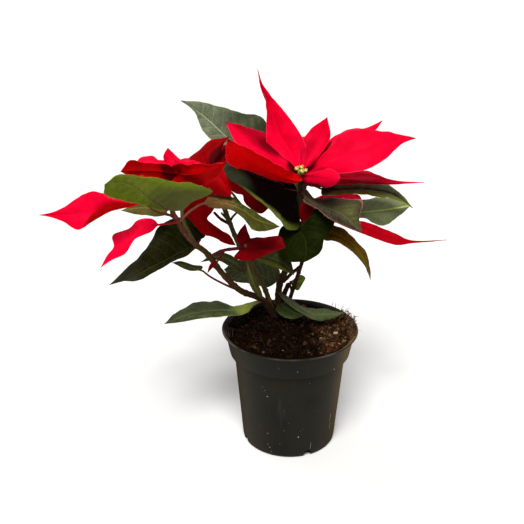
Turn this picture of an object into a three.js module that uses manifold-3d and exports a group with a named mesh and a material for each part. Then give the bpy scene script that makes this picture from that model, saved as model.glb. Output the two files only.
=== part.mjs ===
// A potted poinsettia: a tapered plastic nursery pot filled with soil, a branching stem, green leaves
// on stalks, red bracts in four blooms and their small yellow-green cyathia. Millimetres, +Z up, the
// pot's bottom centre at the origin, the front towards -Y.
import * as THREE from "three";
import Module from "manifold-3d";

const wasm = await Module();
wasm.setup();

// ---------- Driving dimensions, in millimetres and degrees ----------
const GAP = 0.3; // clearance kept between neighbouring pieces
const POT = {
  height: 108,
  lip: 60, // outer radius of the flared lip
  lipThick: 1.3,
  lipFlat: 1.8, // width of the lip's flat top
  lipEdge: 0.5, // bevel on its outer edge
  flare: 1.6, // height over which the band opens into the lip
  throat: 2.2, // and the same inside
  bandTop: 56.8, // outer radius of the band under the lip
  bandFoot: 53,
  bandHeight: 21,
  bandStep: 0.8, // height of the step at the foot of the band
  shoulder: 49.2, // outer radius of the body under the band
  base: 41.7,
  baseRound: 3,
  wall: 1.5,
  floor: 2,
  cove: 2, // rounding between the floor and the wall, inside
  segments: 40,
};
const NOTCH = { width: 7, height: 6, depth: 5, count: 4, turn: 22 }; // drainage notches in the base
const SOIL = {
  rim: 105, // height of the soil at the wall
  heap: 9, // how far it is heaped up round the crown
  heapAt: [-12, 4],
  heapSpread: 30,
  slope: [0.012, 0.05], // fall towards the right and the back
  roughness: 0.65,
  calm: 10, // width of the even strip at the wall
  rings: 6,
  spare: 0.05, // clearance from the wall, over GAP
  spread: 0.7, // how far it widens with height in the opening of the lip
  neck: 0.4, // depth of its side's last ring below the lip's opening or the soil's edge
};
const ROD = { step: 12, nose: 0.6, beyond: 0.5 }; // facet length; end rings as shares of the radius
const BLADE = {
  thick: 0.8,
  baseHalf: 0.8, // least half width at the foot
  tipHalf: 0.45, // and at the tip
  rowLength: 13, // length of blade to one row of facets
  leastRows: 4,
  mostRows: 7,
  puff: 1.5, // how far a blade bulges between its midrib and an edge, at most
  puffShare: 0.06, // and as a share of its width
  plainWidth: 17, // a narrower blade has no bulge
  lift: 0.12, // rise of the edges of a blade without edge points, as a share of its half width
  widest: 0.4, // where such a blade is widest, along its length
  taper: 1.2, // how drawn out its tip is
  ends: 0.06, // share of the length at each end where the edges keep a steady direction
};
const STALK = { foot: 1.2, top: 0.9, sides: 5, sunk: 0.08 };
const BEAD = { fine: 2.2 }; // a larger ball has finer facets

const LOOKS = {
  pot: { color: 0x262522, roughness: 0.55 },
  soil: { color: 0x2d1c10, roughness: 0.95 },
  stem: { color: 0x3a1d10, roughness: 0.6 },
  leaf: { color: 0x33441c, roughness: 0.5 },
  leafPale: { color: 0x5d6a4b, roughness: 0.5 },
  leafOlive: { color: 0x5c5a24, roughness: 0.5 },
  leafPink: { color: 0x6a5a48, roughness: 0.5 },
  leafDark: { color: 0x18200a, roughness: 0.5 },
  bract: { color: 0xd00022, roughness: 0.45 },
  bractDark: { color: 0x7a0208, roughness: 0.45 },
  cyathia: { color: 0xa9a42c, roughness: 0.5 },
};

// Stem pieces: points up the piece, then the radius at its foot and at its top. The first is the
// trunk, which stands in the soil.
const STEMS = [
  { path: [[-9, 8, 84], [-9, 8, 100], [-12, 9, 116], [-12, 9, 121]], foot: 6, top: 4.2 },
  {
    path: [[-12, 8, 112], [-24, 3, 133], [-43, -6, 146], [-58, -13, 165], [-71, -18, 186], [-79, -22, 194]],
    foot: 2.9,
    top: 2.3,
  },
  {
    path: [[-79, -22, 194], [-86, -27, 205], [-91, -31, 217], [-95, -34, 227], [-91, -36, 241],
      [-85, -37, 252]],
    foot: 2,
    top: 2.2,
  },
  { path: [[-79, -22, 194], [-83, -26, 205], [-87, -30, 217], [-88, -32, 232]], foot: 1.7, top: 1.5 },
  {
    path: [[-14, 9, 114], [-22, 6, 142], [-32, 2, 164], [-40, -2, 178], [-47, -5, 195], [-54, -7, 216],
      [-62, -6, 236], [-65, -5, 245]],
    foot: 2.3,
    top: 1.8,
  },
  { path: [[-52, -7, 207], [-59, -6, 211], [-64, -5, 216]], foot: 1.3, top: 1.1 },
  { path: [[-52, -7, 207], [-49, -5, 212], [-44, -4, 217]], foot: 1, top: 0.9 },
  { path: [[-53, -7, 210], [-58, -6, 216]], foot: 0.9, top: 0.8 },
  {
    path: [[-11, 9, 114], [-9, 9, 146], [-4, 7, 160], [0, 4, 180], [4, 2, 204], [6, 0, 230], [6, 0, 243]],
    foot: 3,
    top: 2.4,
  },
  { path: [[-5, 10, 112], [1, 14, 132], [9, 13, 160], [15, 13, 184], [19, 12, 205]], foot: 1.9, top: 1.5 },
  { path: [[-6, 8, 148], [1, 10, 155], [9, 12, 161]], foot: 1.5, top: 1.5 },
  { path: [[-11, 12, 112], [-5, 17, 132], [-1, 19, 141]], foot: 2, top: 2.2 },
  { path: [[-67, -17, 182], [-57, -25, 190], [-42, -32, 195]], foot: 1.2, top: 1.4 },
  {
    path: [[-62, -6, 236], [-55, -10, 238], [-49, -12, 235], [-45, -13, 230], [-39, -14, 223]],
    foot: 1.1,
    top: 0.9,
  },
];

// Blades. rib: points along the midrib from base to tip. left and right: points along the two edges
// between the same ends, looking from base to tip with the upper side up. A blade without edges has
// face, where its upper side looks, and half, its widest half width.
const LEAVES = {
  leaf_back_left: {
    stalk: [[4, 2, 214], [-6, 10, 232]],
    rib: [[-20, 20, 244], [-38, 34, 254], [-56, 42, 269], [-73, 46, 284], [-93, 44, 299]],
    left: [[-30, 20, 250], [-52, 28, 259], [-67, 34, 267], [-75, 38, 275], [-82, 42, 290]],
    right: [[-14, 36, 258], [-18, 48, 273], [-25, 52, 283], [-44, 54, 287], [-73, 50, 296]],
    colour: "leafPale",
  },
  leaf_cupped: {
    stalk: [[5, 1, 228]],
    rib: [[4, -10, 236], [-10, -27, 244], [-25, -40, 252], [-38, -50, 261], [-53, -58, 268]],
    left: [[5, -20, 208], [-4, -30, 210], [-15, -41, 227], [-30, -50, 243], [-41, -56, 254],
      [-50, -59, 261]],
    right: [[1, -5, 240], [-4, 0, 241], [-20, -6, 247], [-37, -22, 258], [-48, -41, 266]],
    colour: "leafDark",
  },
  leaf_grey_pink: {
    stalk: [[6, 0, 232]],
    rib: [[10, -10, 233], [23, -24, 228], [38, -34, 224], [54, -42, 212]],
    left: [[11, -7, 236], [14, -8, 233], [18, -10, 230], [23, -13, 231], [32, -16, 232], [47, -22, 233],
      [55, -26, 232], [52, -36, 221]],
    right: [[9, -13, 230], [11, -16, 228], [20, -27, 226], [29, -33, 220], [41, -38, 216]],
    colour: "leafPink",
  },
  leaf_right_upper: {
    stalk: [[6, 1, 236], [15, 5, 237]],
    rib: [[25, 9, 232], [43, 13, 230], [62, 18, 229], [86, 22, 224], [105, 22, 211]],
    left: [[28, 15, 235], [46, 24, 234], [65, 28, 232], [82, 28, 230], [93, 26, 224]],
    right: [[25, 5, 228], [37, 5, 228], [57, 8, 228], [69, 11, 225], [86, 16, 221], [98, 20, 216]],
    colour: "leafDark",
  },
  leaf_right_rear: {
    stalk: [[19, 12, 204]],
    rib: [[23, 14, 208], [47, 20, 206], [65, 26, 206], [83, 32, 206], [106, 38, 208]],
    left: [[39, 28, 211], [66, 38, 214], [93, 42, 213]],
    right: [[37, 12, 204], [61, 16, 204], [80, 22, 195], [95, 32, 200]],
    colour: "leafPale",
  },
  leaf_round_centre: {
    stalk: [[4, 2, 205]],
    rib: [[1, -11, 206], [9, -24, 202], [11, -34, 196], [9, -40, 186]],
    left: [[8, -9, 208], [16, -10, 213], [19, -12, 220], [21, -15, 226], [29, -18, 221], [34, -20, 214],
      [31, -23, 207], [25, -29, 201], [24, -33, 195], [21, -36, 191], [15, -38, 188]],
    right: [[-7, -10, 206], [-12, -18, 197], [-9, -30, 188], [-2, -36, 185]],
    colour: "leafDark",
  },
  leaf_hanging_right: {
    stalk: [[18, 12, 200], [22, 2, 202]],
    rib: [[25, -6, 199], [35, -13, 200], [47, -18, 195], [57, -20, 184], [66, -19, 162]],
    left: [[29, -4, 207], [37, -8, 205], [45, -11, 202], [51, -13, 197], [57, -15, 190], [62, -16, 184],
      [65, -17, 173]],
    right: [[27, -10, 194], [35, -16, 195], [43, -20, 192], [49, -22, 188], [56, -23, 181],
      [62, -22, 172]],
    colour: "leafOlive",
  },
  leaf_low_centre: {
    stalk: [[-44, -4, 187], [-38, -10, 184]],
    rib: [[-35, -15, 181], [-20, -18, 181], [-8, -22, 178], [2, -24, 168]],
    left: [[-25, -10, 183], [-16, -11, 186], [-8, -14, 185], [-1, -19, 178]],
    right: [[-25, -20, 178], [-12, -24, 174]],
    colour: "leafDark",
  },
  leaf_round_rear: {
    stalk: [[-9, 9, 140]],
    rib: [[-9, 21, 144], [-25, 28, 145], [-41, 33, 147], [-59, 36, 148]],
    left: [[-19, 22, 137], [-35, 25, 139], [-51, 29, 140]],
    right: [[-9, 25, 152], [-19, 34, 156], [-35, 40, 157], [-50, 40, 154]],
    colour: "leafDark",
  },
  leaf_young: {
    stalk: [[2, 14, 134]],
    rib: [[0, 18, 144], [6, 19, 143], [14, 20, 146]],
    left: [[3, 18, 146], [8, 19, 150], [13, 20, 148]],
    right: [[3, 17, 139], [7, 17, 136], [11, 19, 140]],
    colour: "leafOlive",
  },
  leaf_front_left: {
    stalk: [[-94, -35, 232]],
    rib: [[-98, -41, 230], [-107, -60, 244], [-114, -79, 259], [-122, -96, 269], [-131, -110, 271]],
    left: [[-87, -43, 230], [-78, -48, 239], [-62, -54, 248], [-70, -64, 256], [-84, -75, 261],
      [-103, -90, 269], [-121, -104, 276]],
    right: [[-103, -48, 233], [-112, -62, 242], [-123, -82, 252], [-132, -100, 262]],
    colour: "leafOlive",
  },
  leaf_dark_left: {
    stalk: [[-79, -22, 194]],
    rib: [[-75, -15, 196], [-84, -19, 191], [-98, -26, 185], [-115, -36, 179], [-130, -42, 173],
      [-146, -48, 170]],
    left: [[-77, -19, 192], [-86, -23, 185], [-95, -29, 183], [-108, -37, 178], [-125, -43, 171],
      [-136, -46, 172]],
    right: [[-71, -10, 198], [-73, -7, 205], [-80, -4, 211], [-88, -3, 212], [-100, -8, 211],
      [-111, -13, 204], [-118, -22, 192], [-130, -33, 182]],
    colour: "leafDark",
  },
  leaf_small_left: {
    stalk: [[-43, -6, 146], [-50, -9, 150], [-61, -12, 157], [-69, -14, 163]],
    rib: [[-75, -16, 169], [-87, -20, 174], [-98, -26, 180]],
    left: [[-84, -22, 171], [-92, -25, 176]],
    right: [[-74, -12, 171], [-83, -14, 173], [-91, -20, 179]],
    colour: "leafDark",
  },
  leaf_bottom_left: {
    stalk: [[-11, 8, 112], [-17, 5, 124]],
    rib: [[-24, 2, 133], [-44, -8, 129], [-65, -14, 131], [-86, -18, 129], [-108, -20, 121]],
    left: [[-32, -2, 129], [-39, -12, 127], [-59, -20, 128], [-77, -22, 127], [-92, -22, 124]],
    right: [[-37, 4, 130], [-47, 2, 127], [-63, 0, 133], [-80, -4, 134], [-97, -12, 129]],
    colour: "leaf",
  },
  leaf_over_soil: {
    stalk: [[-9, 9, 136]],
    rib: [[-11, 6, 140], [-1, 4, 132], [9, 2, 126], [19, 0, 121], [36, 6, 118], [48, 10, 117]],
    left: [[-2, 8, 134], [7, 6, 128], [14, 4, 125], [30, 8, 122]],
    right: [[-8, 4, 135], [2, 0, 127], [9, -2, 123], [19, -4, 118], [28, 0, 114], [41, 6, 115]],
    colour: "leaf",
  },
  leaf_low_shaded: {
    stalk: [[-11, 9, 122]],
    rib: [[-10, 8, 128], [-3, 3, 124], [11, -3, 120]],
    left: [[-2, 12, 126], [9, 6, 121]],
    right: [[-12, 0, 124], [-6, -6, 121], [2, -8, 120]],
    colour: "leafDark",
  },
  leaf_olive_middle: {
    stalk: [[-90, -31, 217], [-81, -38, 228]],
    rib: [[-70, -46, 237], [-55, -50, 239], [-41, -54, 235], [-28, -56, 227], [-11, -54, 221]],
    left: [[-64, -44, 242], [-51, -46, 243], [-38, -50, 237], [-25, -52, 229]],
    right: [[-61, -48, 234], [-47, -54, 234], [-38, -60, 229], [-31, -62, 221], [-20, -60, 220]],
    colour: "leafOlive",
  },
  leaf_strip: {
    stalk: [[-17, 6, 126]],
    rib: [[-25, -3, 138], [-31, -9, 152], [-35, -13, 165], [-37, -14, 176]],
    face: [0, -1, 0.2], half: 2.8, colour: "leafOlive",
  },
  leaf_thin_left: {
    stalk: [[-35, 1, 168]],
    rib: [[-40, -4, 163], [-48, -8, 172], [-61, -10, 179], [-76, -10, 174]],
    face: [0, -0.8, 0.6], half: 4, colour: "leafDark",
  },
  leaf_olive_far: {
    stalk: [[-91, -31, 218]],
    rib: [[-100, -29, 223], [-116, -24, 226], [-138, -18, 222]],
    face: [0, -0.6, 1], half: 8, colour: "leafOlive",
  },
};

const BLOOMS = {
  bracts_right: {
    centre: [6, 0, 246],
    radius: 4,
    cyathia: [[[7, -1, 249.5], 3.6], [[3.4, -3, 252.6], 1.9], [[7, -3, 253.5], 1.8],
      [[7.4, -4.6, 250.8], 1.9], [[10.8, -3, 251], 1.6]],
    colour: "bract",
    blades: [
      { // tall, up and left
        rib: [[5, 0, 252], [-2, 10, 264], [-11, 18, 278], [-18, 24, 295], [-25, 26, 311], [-28, 22, 328]],
        left: [[-7, 3, 257], [-20, 10, 268], [-21, 14, 284], [-21, 18, 296], [-22, 21, 306],
          [-25, 23, 311]],
        right: [[12, 4, 260], [10, 8, 272], [-3, 17, 291], [-12, 20, 301], [-18, 22, 308],
          [-24, 24, 316]],
      },
      { // small, upright
        rib: [[9, -1, 253], [15, 6, 264], [23, 11, 278], [28, 10, 292]],
        left: [[6, 4, 261], [8, 10, 272], [15, 14, 281]],
        right: [[18, 2, 258], [27, 6, 268], [31, 8, 277]],
      },
      { // large, right
        rib: [[11, -2, 249], [33, -12, 264], [57, -14, 272], [78, -8, 276], [99, 0, 277]],
        left: [[22, 2, 260], [33, 6, 272], [41, 4, 281], [54, 2, 284], [80, 2, 281]],
        right: [[24, -10, 252], [37, -22, 254], [56, -26, 258], [72, -20, 265], [87, -6, 274]],
      },
      { // behind the large one
        rib: [[11, 8, 249], [37, 30, 260], [61, 42, 271], [78, 44, 282]],
        left: [[23, 30, 260], [47, 50, 272], [67, 50, 275]],
        right: [[32, 20, 254], [59, 36, 265], [73, 42, 275]],
      },
      { // inner, between the upright and the large one
        rib: [[10, 6, 250], [22, 20, 258], [34, 28, 268]],
        left: [[14, 20, 256], [26, 30, 265]],
        right: [[20, 16, 252], [32, 24, 261]],
      },
      { // upper left, folded along its midrib
        rib: [[1, -1, 252], [-12, 2, 259], [-28, 5, 269], [-40, 8, 278], [-54, 10, 288]],
        left: [[-7, -10, 251], [-23, -15, 261], [-36, -15, 268], [-47, -2, 276]],
        right: [[-2, 8, 259], [-10, 16, 266], [-20, 20, 275], [-33, 18, 281], [-44, 14, 285]],
      },
      { // front left, rising towards the front
        rib: [[7, -8, 244], [-15, -30, 257], [-34, -48, 271], [-44, -60, 282], [-49, -70, 293]],
        left: [[-10, -38, 264], [-28, -55, 279], [-40, -67, 288]],
        right: [[4, -9, 242], [-4, -13, 244], [-18, -24, 250], [-34, -40, 261], [-44, -50, 266],
          [-50, -56, 272], [-51, -64, 283]],
      },
      { // short, front right
        rib: [[11, -9, 248], [19, -28, 253], [27, -44, 256], [34, -56, 259]],
        left: [[18, -20, 255], [27, -34, 261], [33, -46, 261]],
        right: [[11, -12, 242], [17, -22, 243], [23, -33, 246], [29, -46, 251]],
      },
      { // low, right, edge on
        rib: [[11, 0, 246], [44, 6, 242], [74, 12, 237], [111, 14, 236]],
        left: [[41, 20, 243], [61, 26, 243], [74, 24, 240], [85, 18, 237]],
        right: [[21, -3, 239], [35, -3, 239], [56, 0, 239], [80, 8, 236]],
      },
      { // far left, only its tip showing
        rib: [[7, 14, 255], [-8, 44, 258], [-21, 60, 270], [-33, 66, 283]],
        left: [[-6, 42, 253], [-26, 60, 269]],
        right: [[-2, 46, 260], [-22, 64, 275]],
      },
      { rib: [[8, 5, 250], [15, 28, 257], [22, 54, 262], [30, 82, 256]], face: [0, -0.3, 1], half: 17 },
      { rib: [[5, 7, 250], [-2, 28, 247], [-8, 50, 242], [-16, 72, 232]], face: [0, -0.1, 1], half: 13 },
    ],
  },
  bracts_left: {
    centre: [-84, -38, 256],
    radius: 4,
    cyathia: [[[-84, -38.5, 260], 2.6], [[-86.5, -39.5, 261.3], 1.4], [[-82, -37, 261.6], 1.4]],
    colour: "bractDark",
    blades: [
      {
        rib: [[-90, -46, 260], [-100, -56, 265], [-114, -64, 268], [-127, -70, 269]],
        left: [[-95, -48, 268], [-104, -55, 271], [-113, -60, 273], [-120, -64, 276]],
        right: [[-94, -52, 256], [-102, -59, 259], [-111, -63, 262], [-120, -67, 264]],
      },
      {
        rib: [[-89, -36, 262], [-102, -29, 264], [-113, -24, 265], [-123, -20, 263]],
        left: [[-98, -40, 263], [-111, -34, 263]],
        right: [[-98, -24, 265], [-106, -20, 264], [-113, -17, 267], [-120, -17, 266]],
      },
      {
        rib: [[-88, -34, 262], [-93, -30, 268], [-97, -28, 276]],
        left: [[-97, -32, 263], [-101, -28, 267], [-100, -28, 272]],
        right: [[-82, -32, 264], [-88, -29, 268], [-93, -28, 272]],
      },
      {
        rib: [[-88, -44, 260], [-80, -60, 264], [-65, -70, 269], [-50, -76, 277]],
        left: [[-94, -48, 255], [-80, -55, 254], [-68, -62, 256], [-57, -69, 265]],
        right: [[-91, -54, 269], [-77, -64, 273], [-63, -72, 275]],
      },
      {
        rib: [[-84, -33, 259], [-92, -12, 258], [-102, 10, 252], [-110, 28, 242]],
        face: [0, -0.2, 1],
        half: 13,
      },
      { rib: [[-81, -33, 260], [-78, -20, 262], [-77, -10, 258]], face: [0, -0.2, 1], half: 7 },
      { // drooping below the bloom
        rib: [[-84, -37, 255], [-81, -30, 236], [-77, -24, 223], [-69, -20, 210], [-57, -18, 199],
          [-46, -18, 192]],
        left: [[-87, -31, 235], [-89, -29, 225], [-84, -27, 219], [-78, -25, 211], [-70, -22, 202],
          [-64, -21, 200], [-52, -19, 193]],
        right: [[-72, -28, 242], [-64, -22, 235], [-63, -16, 224], [-69, -15, 215], [-59, -15, 205],
          [-51, -16, 200]],
      },
    ],
  },
  bracts_middle: {
    centre: [-65, -5, 248],
    radius: 3.5,
    cyathia: [[[-65, -6, 251], 2.2], [[-63, -8, 252.5], 1.4]],
    colour: "bractDark",
    blades: [
      {
        rib: [[-67, -9, 252], [-65, -24, 257], [-58, -40, 258], [-52, -50, 253], [-48, -52, 244]],
        left: [[-60, -20, 262], [-53, -34, 265], [-50, -44, 263], [-48, -50, 254]],
        right: [[-71, -22, 252], [-72, -32, 250], [-69, -42, 246], [-58, -50, 245]],
      },
      {
        rib: [[-68, -3, 254], [-72, 4, 261], [-64, 8, 269], [-51, 10, 276]],
        left: [[-85, 0, 257], [-81, 6, 262], [-75, 10, 266], [-68, 12, 272], [-58, 12, 274]],
        right: [[-63, -2, 258], [-59, 3, 264], [-56, 8, 270]],
      },
      {
        rib: [[-63, -1, 252], [-59, 14, 257], [-52, 22, 266]],
        left: [[-71, 14, 257], [-62, 22, 265]],
        right: [[-58, 8, 254], [-53, 16, 260]],
      },
      {
        rib: [[-62, -4, 250], [-49, 0, 237], [-35, 0, 227], [-19, -2, 219]],
        left: [[-51, 6, 242], [-35, 8, 231], [-21, 3, 223]],
        right: [[-46, -4, 232], [-40, -5, 231], [-39, -5, 225], [-33, -6, 219], [-25, -5, 215]],
      },
      {
        rib: [[-64, -1, 250], [-66, 20, 254], [-70, 42, 252], [-76, 60, 244]],
        face: [0, -0.2, 1],
        half: 12,
      },
    ],
  },
  bracts_low: {
    centre: [-40, -33, 196],
    radius: 2.5,
    cyathia: [[[-37.5, -35.5, 198], 1.6]],
    colour: "bractDark",
    blades: [
      {
        rib: [[-41, -34, 195], [-28, -41, 198], [-17, -45, 200], [-6, -47, 201]],
        left: [[-36, -30, 202], [-25, -35, 205], [-10, -41, 208]],
        right: [[-47, -38, 190], [-36, -45, 189], [-25, -49, 194], [-14, -49, 199]],
      },
      {
        rib: [[-40, -32, 199], [-40, -29, 206], [-38, -27, 214]],
        left: [[-45, -31, 202], [-43, -28, 208]],
        right: [[-34, -30, 200], [-36, -28, 208]],
      },
    ],
  },
};

const LONG_BRACTS = {
  bract_long_right: {
    stalk: [[6, 0, 232], [22, 4, 218]],
    rib: [[35, 2, 206], [58, 0, 202], [79, -2, 194], [99, -4, 190], [129, -8, 193]],
    left: [[48, 4, 207], [61, 4, 205], [79, 2, 199], [89, 0, 195], [100, -3, 191]],
    right: [[45, -1, 202], [57, -4, 198], [71, -6, 193], [88, -7, 188], [99, -6, 189]],
    colour: "bract",
  },
  bract_long_left: {
    stalk: [[-95, -34, 223], [-105, -43, 229]],
    rib: [[-114, -56, 240], [-126, -66, 243], [-139, -74, 244], [-152, -82, 242], [-168, -88, 242],
      [-182, -94, 244]],
    left: [[-124, -68, 241], [-135, -78, 241], [-147, -86, 236], [-157, -89, 231], [-166, -92, 238],
      [-173, -94, 242]],
    right: [[-123, -60, 244], [-136, -63, 248], [-146, -67, 253], [-155, -75, 253], [-164, -83, 248],
      [-173, -90, 245]],
    colour: "bract",
  },
  bract_small_left: {
    stalk: [[-91, -31, 217], [-96, -37, 218]],
    rib: [[-105, -44, 219], [-114, -52, 220], [-125, -58, 214], [-134, -62, 207], [-148, -66, 192]],
    left: [[-111, -50, 215], [-122, -58, 212], [-129, -62, 202], [-139, -65, 198]],
    right: [[-109, -42, 223], [-119, -46, 224], [-128, -50, 218], [-139, -54, 214], [-138, -60, 207],
      [-143, -64, 201]],
    colour: "bract",
  },
  bract_under_right: {
    stalk: [[6, 1, 222]],
    rib: [[12, 5, 222], [28, 12, 224], [46, 18, 221], [61, 22, 218]],
    left: [[33, 14, 227], [46, 18, 225], [58, 21, 223]],
    right: [[28, 10, 222], [46, 15, 218]],
    colour: "bract",
  },
  bract_hanging: {
    stalk: [[6, 0, 228]],
    rib: [[11, -4, 226], [12, -5, 217], [9, -7, 207]],
    left: [[17, -4, 223], [19, -5, 217], [15, -5, 211]],
    right: [[7, -7, 223], [6, -8, 214]],
    colour: "bractDark",
  },
  bract_spike: {
    stalk: [[-55, -26, 191]],
    rib: [[-61, -23, 180], [-66, -20, 175], [-70, -17, 167]],
    face: [0, -1, 0.4], half: 1.3,
    colour: "bractDark",
  },
};

// ---------- Tools ----------
const vec = (p) => new THREE.Vector3(p[0], p[1], p[2]);
const lerp = (a, b, t) => a + (b - a) * t;
const radians = THREE.MathUtils.degToRad;

function solid(points, triangles) {
  const positions = new Float32Array(points.flatMap((p) => [p.x, p.y, p.z]));
  return new wasm.Manifold(
    new wasm.Mesh({ numProp: 3, vertProperties: positions, triVerts: new Uint32Array(triangles.flat()) }),
  );
}

const fuse = (solids) => solids.reduce((whole, next) => whole.add(next));

// A three.js geometry as a solid, with the corners that it repeats merged.
function solidFrom(geometry) {
  const position = geometry.getAttribute("position");
  const found = new Map();
  const points = [];
  const corners = [];
  for (let i = 0; i < position.count; i++) {
    const point = new THREE.Vector3().fromBufferAttribute(position, i);
    const key = point.toArray().map((c) => c.toFixed(3)).join();
    if (!found.has(key)) {
      found.set(key, points.length);
      points.push(point);
    }
    corners.push(found.get(key));
  }
  const order = geometry.index ? [...geometry.index.array] : corners.map((_, i) => i);
  const triangles = [];
  for (let i = 0; i < order.length; i += 3) {
    triangles.push(order.slice(i, i + 3).map((corner) => corners[corner]));
  }
  return solid(points, triangles);
}

// The largest body of a piece, without the scraps and sealed hollows that joining can leave.
function mainBody(piece) {
  return piece.decompose().reduce((main, next) => (next.volume() > main.volume() ? next : main));
}

function curveThrough(points) {
  return new THREE.CatmullRomCurve3(points.map(vec), false, "centripetal");
}

// A round rod along a path, its ends rounded off by one smaller ring each.
function rod(path, foot, top, sides, grow = 0) {
  const curve = curveThrough(path);
  const steps = Math.max(2, Math.round(curve.getLength() / ROD.step));
  const frames = curve.computeFrenetFrames(steps, false);
  const rings = [];
  for (let i = 0; i <= steps; i++) {
    const bare = lerp(foot, top, i / steps);
    const radius = bare + grow / Math.cos(Math.PI / sides);
    const at = curve.getPointAt(i / steps);
    const beyond = bare * ROD.beyond + grow;
    const nose = bare * ROD.nose + grow;
    if (i === 0) rings.push([at.clone().addScaledVector(frames.tangents[0], -beyond), nose, i]);
    rings.push([at, radius, i]);
    if (i === steps) rings.push([at.clone().addScaledVector(frames.tangents[i], beyond), nose, i]);
  }
  const points = [];
  for (const [at, radius, i] of rings) {
    for (let k = 0; k < sides; k++) {
      const turn = (k / sides) * Math.PI * 2;
      points.push(
        at
          .clone()
          .addScaledVector(frames.normals[i], Math.cos(turn) * radius)
          .addScaledVector(frames.binormals[i], Math.sin(turn) * radius),
      );
    }
  }
  const triangles = [];
  const last = rings.length - 1;
  for (let i = 0; i < last; i++) {
    for (let k = 0; k < sides; k++) {
      const a = i * sides + k;
      const b = i * sides + ((k + 1) % sides);
      triangles.push([a, b, b + sides], [a, b + sides, a + sides]);
    }
  }
  for (let k = 1; k < sides - 1; k++) {
    triangles.push([0, k + 1, k]);
    triangles.push([last * sides, last * sides + k, last * sides + k + 1]);
  }
  return solid(points, triangles);
}

function ball(centre, radius) {
  const geometry = new THREE.IcosahedronGeometry(radius, radius > BEAD.fine ? 1 : 0);
  geometry.translate(...centre);
  return solidFrom(geometry);
}

// Half width along a blade, 1 at its widest place, narrowing to a drawn-out tip.
function outline(s) {
  const rise = (BLADE.taper * BLADE.widest) / (1 - BLADE.widest);
  const at = (x) => Math.pow(x, rise) * Math.pow(1 - x, BLADE.taper);
  return at(s) / at(BLADE.widest);
}

function sideCurve(spec, name) {
  return spec[name] ? curveThrough([spec.rib[0], ...spec[name], spec.rib[spec.rib.length - 1]]) : null;
}

// The edge of a blade at one place, for a blade given by its widths or by its edge points.
function edgeAt(spec, edges, curve, s, isLeft) {
  const at = curve.getPointAt(s);
  const along = curve.getTangentAt(s);
  const least = lerp(BLADE.baseHalf, BLADE.tipHalf, s);
  if (edges) {
    const inner = Math.min(1 - BLADE.ends, Math.max(BLADE.ends, s));
    const away = edges[isLeft ? 0 : 1].getPointAt(inner).sub(curve.getPointAt(inner));
    away.addScaledVector(along, -away.dot(along)).normalize();
    const edge = edges[isLeft ? 0 : 1].getPointAt(s);
    const reach = edge.clone().sub(at).length();
    return reach < least ? at.addScaledVector(away, least) : edge;
  }
  const face = vec(spec.face);
  const up = face.addScaledVector(along, -face.dot(along)).normalize();
  const out = up.clone().cross(along).multiplyScalar(isLeft ? 1 : -1);
  const half = least + spec.half * outline(s);
  return at.addScaledVector(out, half).addScaledVector(up, half * BLADE.lift);
}

// A leaf or bract blade: a grid of points over it, doubled to its thickness and closed at the rim.
function blade(spec, grow = 0) {
  const curve = curveThrough(spec.rib);
  const edges = spec.left ? [sideCurve(spec, "left"), sideCurve(spec, "right")] : null;
  const wanted = Math.round(curve.getLength() / BLADE.rowLength);
  const rows = Math.max(BLADE.leastRows, Math.min(BLADE.mostRows, wanted));
  const grid = [];
  for (let i = 0; i <= rows; i++) {
    const s = i / rows;
    const rib = curve.getPointAt(s);
    const left = edgeAt(spec, edges, curve, s, true);
    const right = edgeAt(spec, edges, curve, s, false);
    const over = left.clone().sub(right).setLength(grow / 2);
    left.add(over);
    right.sub(over);
    const up = curve.getTangentAt(s).cross(left.clone().sub(right)).normalize();
    const puff = Math.min(BLADE.puff, left.distanceTo(right) * BLADE.puffShare);
    const belly = (edge) => edge.clone().lerp(rib, 0.5).addScaledVector(up, puff);
    grid.push([right, belly(right), rib, belly(left), left]);
  }
  const widest = Math.max(...grid.map((row) => row[0].distanceTo(row[row.length - 1])));
  if (widest < BLADE.plainWidth) {
    grid.forEach((row) => row.splice(0, row.length, row[0], row[2], row[4]));
  }
  const columns = grid[0].length;
  const middle = (columns - 1) / 2;
  const points = [];
  for (const layer of [0.5, -0.5]) {
    for (let i = 0; i <= rows; i++) {
      for (let j = 0; j < columns; j++) {
        const down = grid[Math.min(i + 1, rows)][j].clone().sub(grid[Math.max(i - 1, 0)][j]);
        const over = grid[i][Math.min(j + 1, columns - 1)].clone().sub(grid[i][Math.max(j - 1, 0)]);
        const normal = down.cross(over).normalize();
        points.push(grid[i][j].clone().addScaledVector(normal, layer * (BLADE.thick + grow)));
      }
    }
  }
  const under = (rows + 1) * columns;
  const triangles = [];
  for (let i = 0; i < rows; i++) {
    for (let j = 0; j < columns - 1; j++) {
      const a = i * columns + j;
      const b = a + columns;
      const pair = j < middle ? [[a, b, b + 1], [a, b + 1, a + 1]] : [[a, b, a + 1], [b, b + 1, a + 1]];
      for (const [p, q, r] of pair) triangles.push([p, q, r], [p + under, r + under, q + under]);
    }
  }
  const edge = [];
  for (let j = 0; j < columns; j++) edge.push(j);
  for (let i = 1; i <= rows; i++) edge.push(i * columns + columns - 1);
  for (let j = columns - 2; j >= 0; j--) edge.push(rows * columns + j);
  for (let i = rows - 1; i > 0; i--) edge.push(i * columns);
  for (let k = 0; k < edge.length; k++) {
    const a = edge[k];
    const b = edge[(k + 1) % edge.length];
    triangles.push([a, b, b + under], [a, b + under, a + under]);
  }
  return solid(points, triangles);
}

// ---------- Pieces ----------
const group = new THREE.Group();

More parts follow.
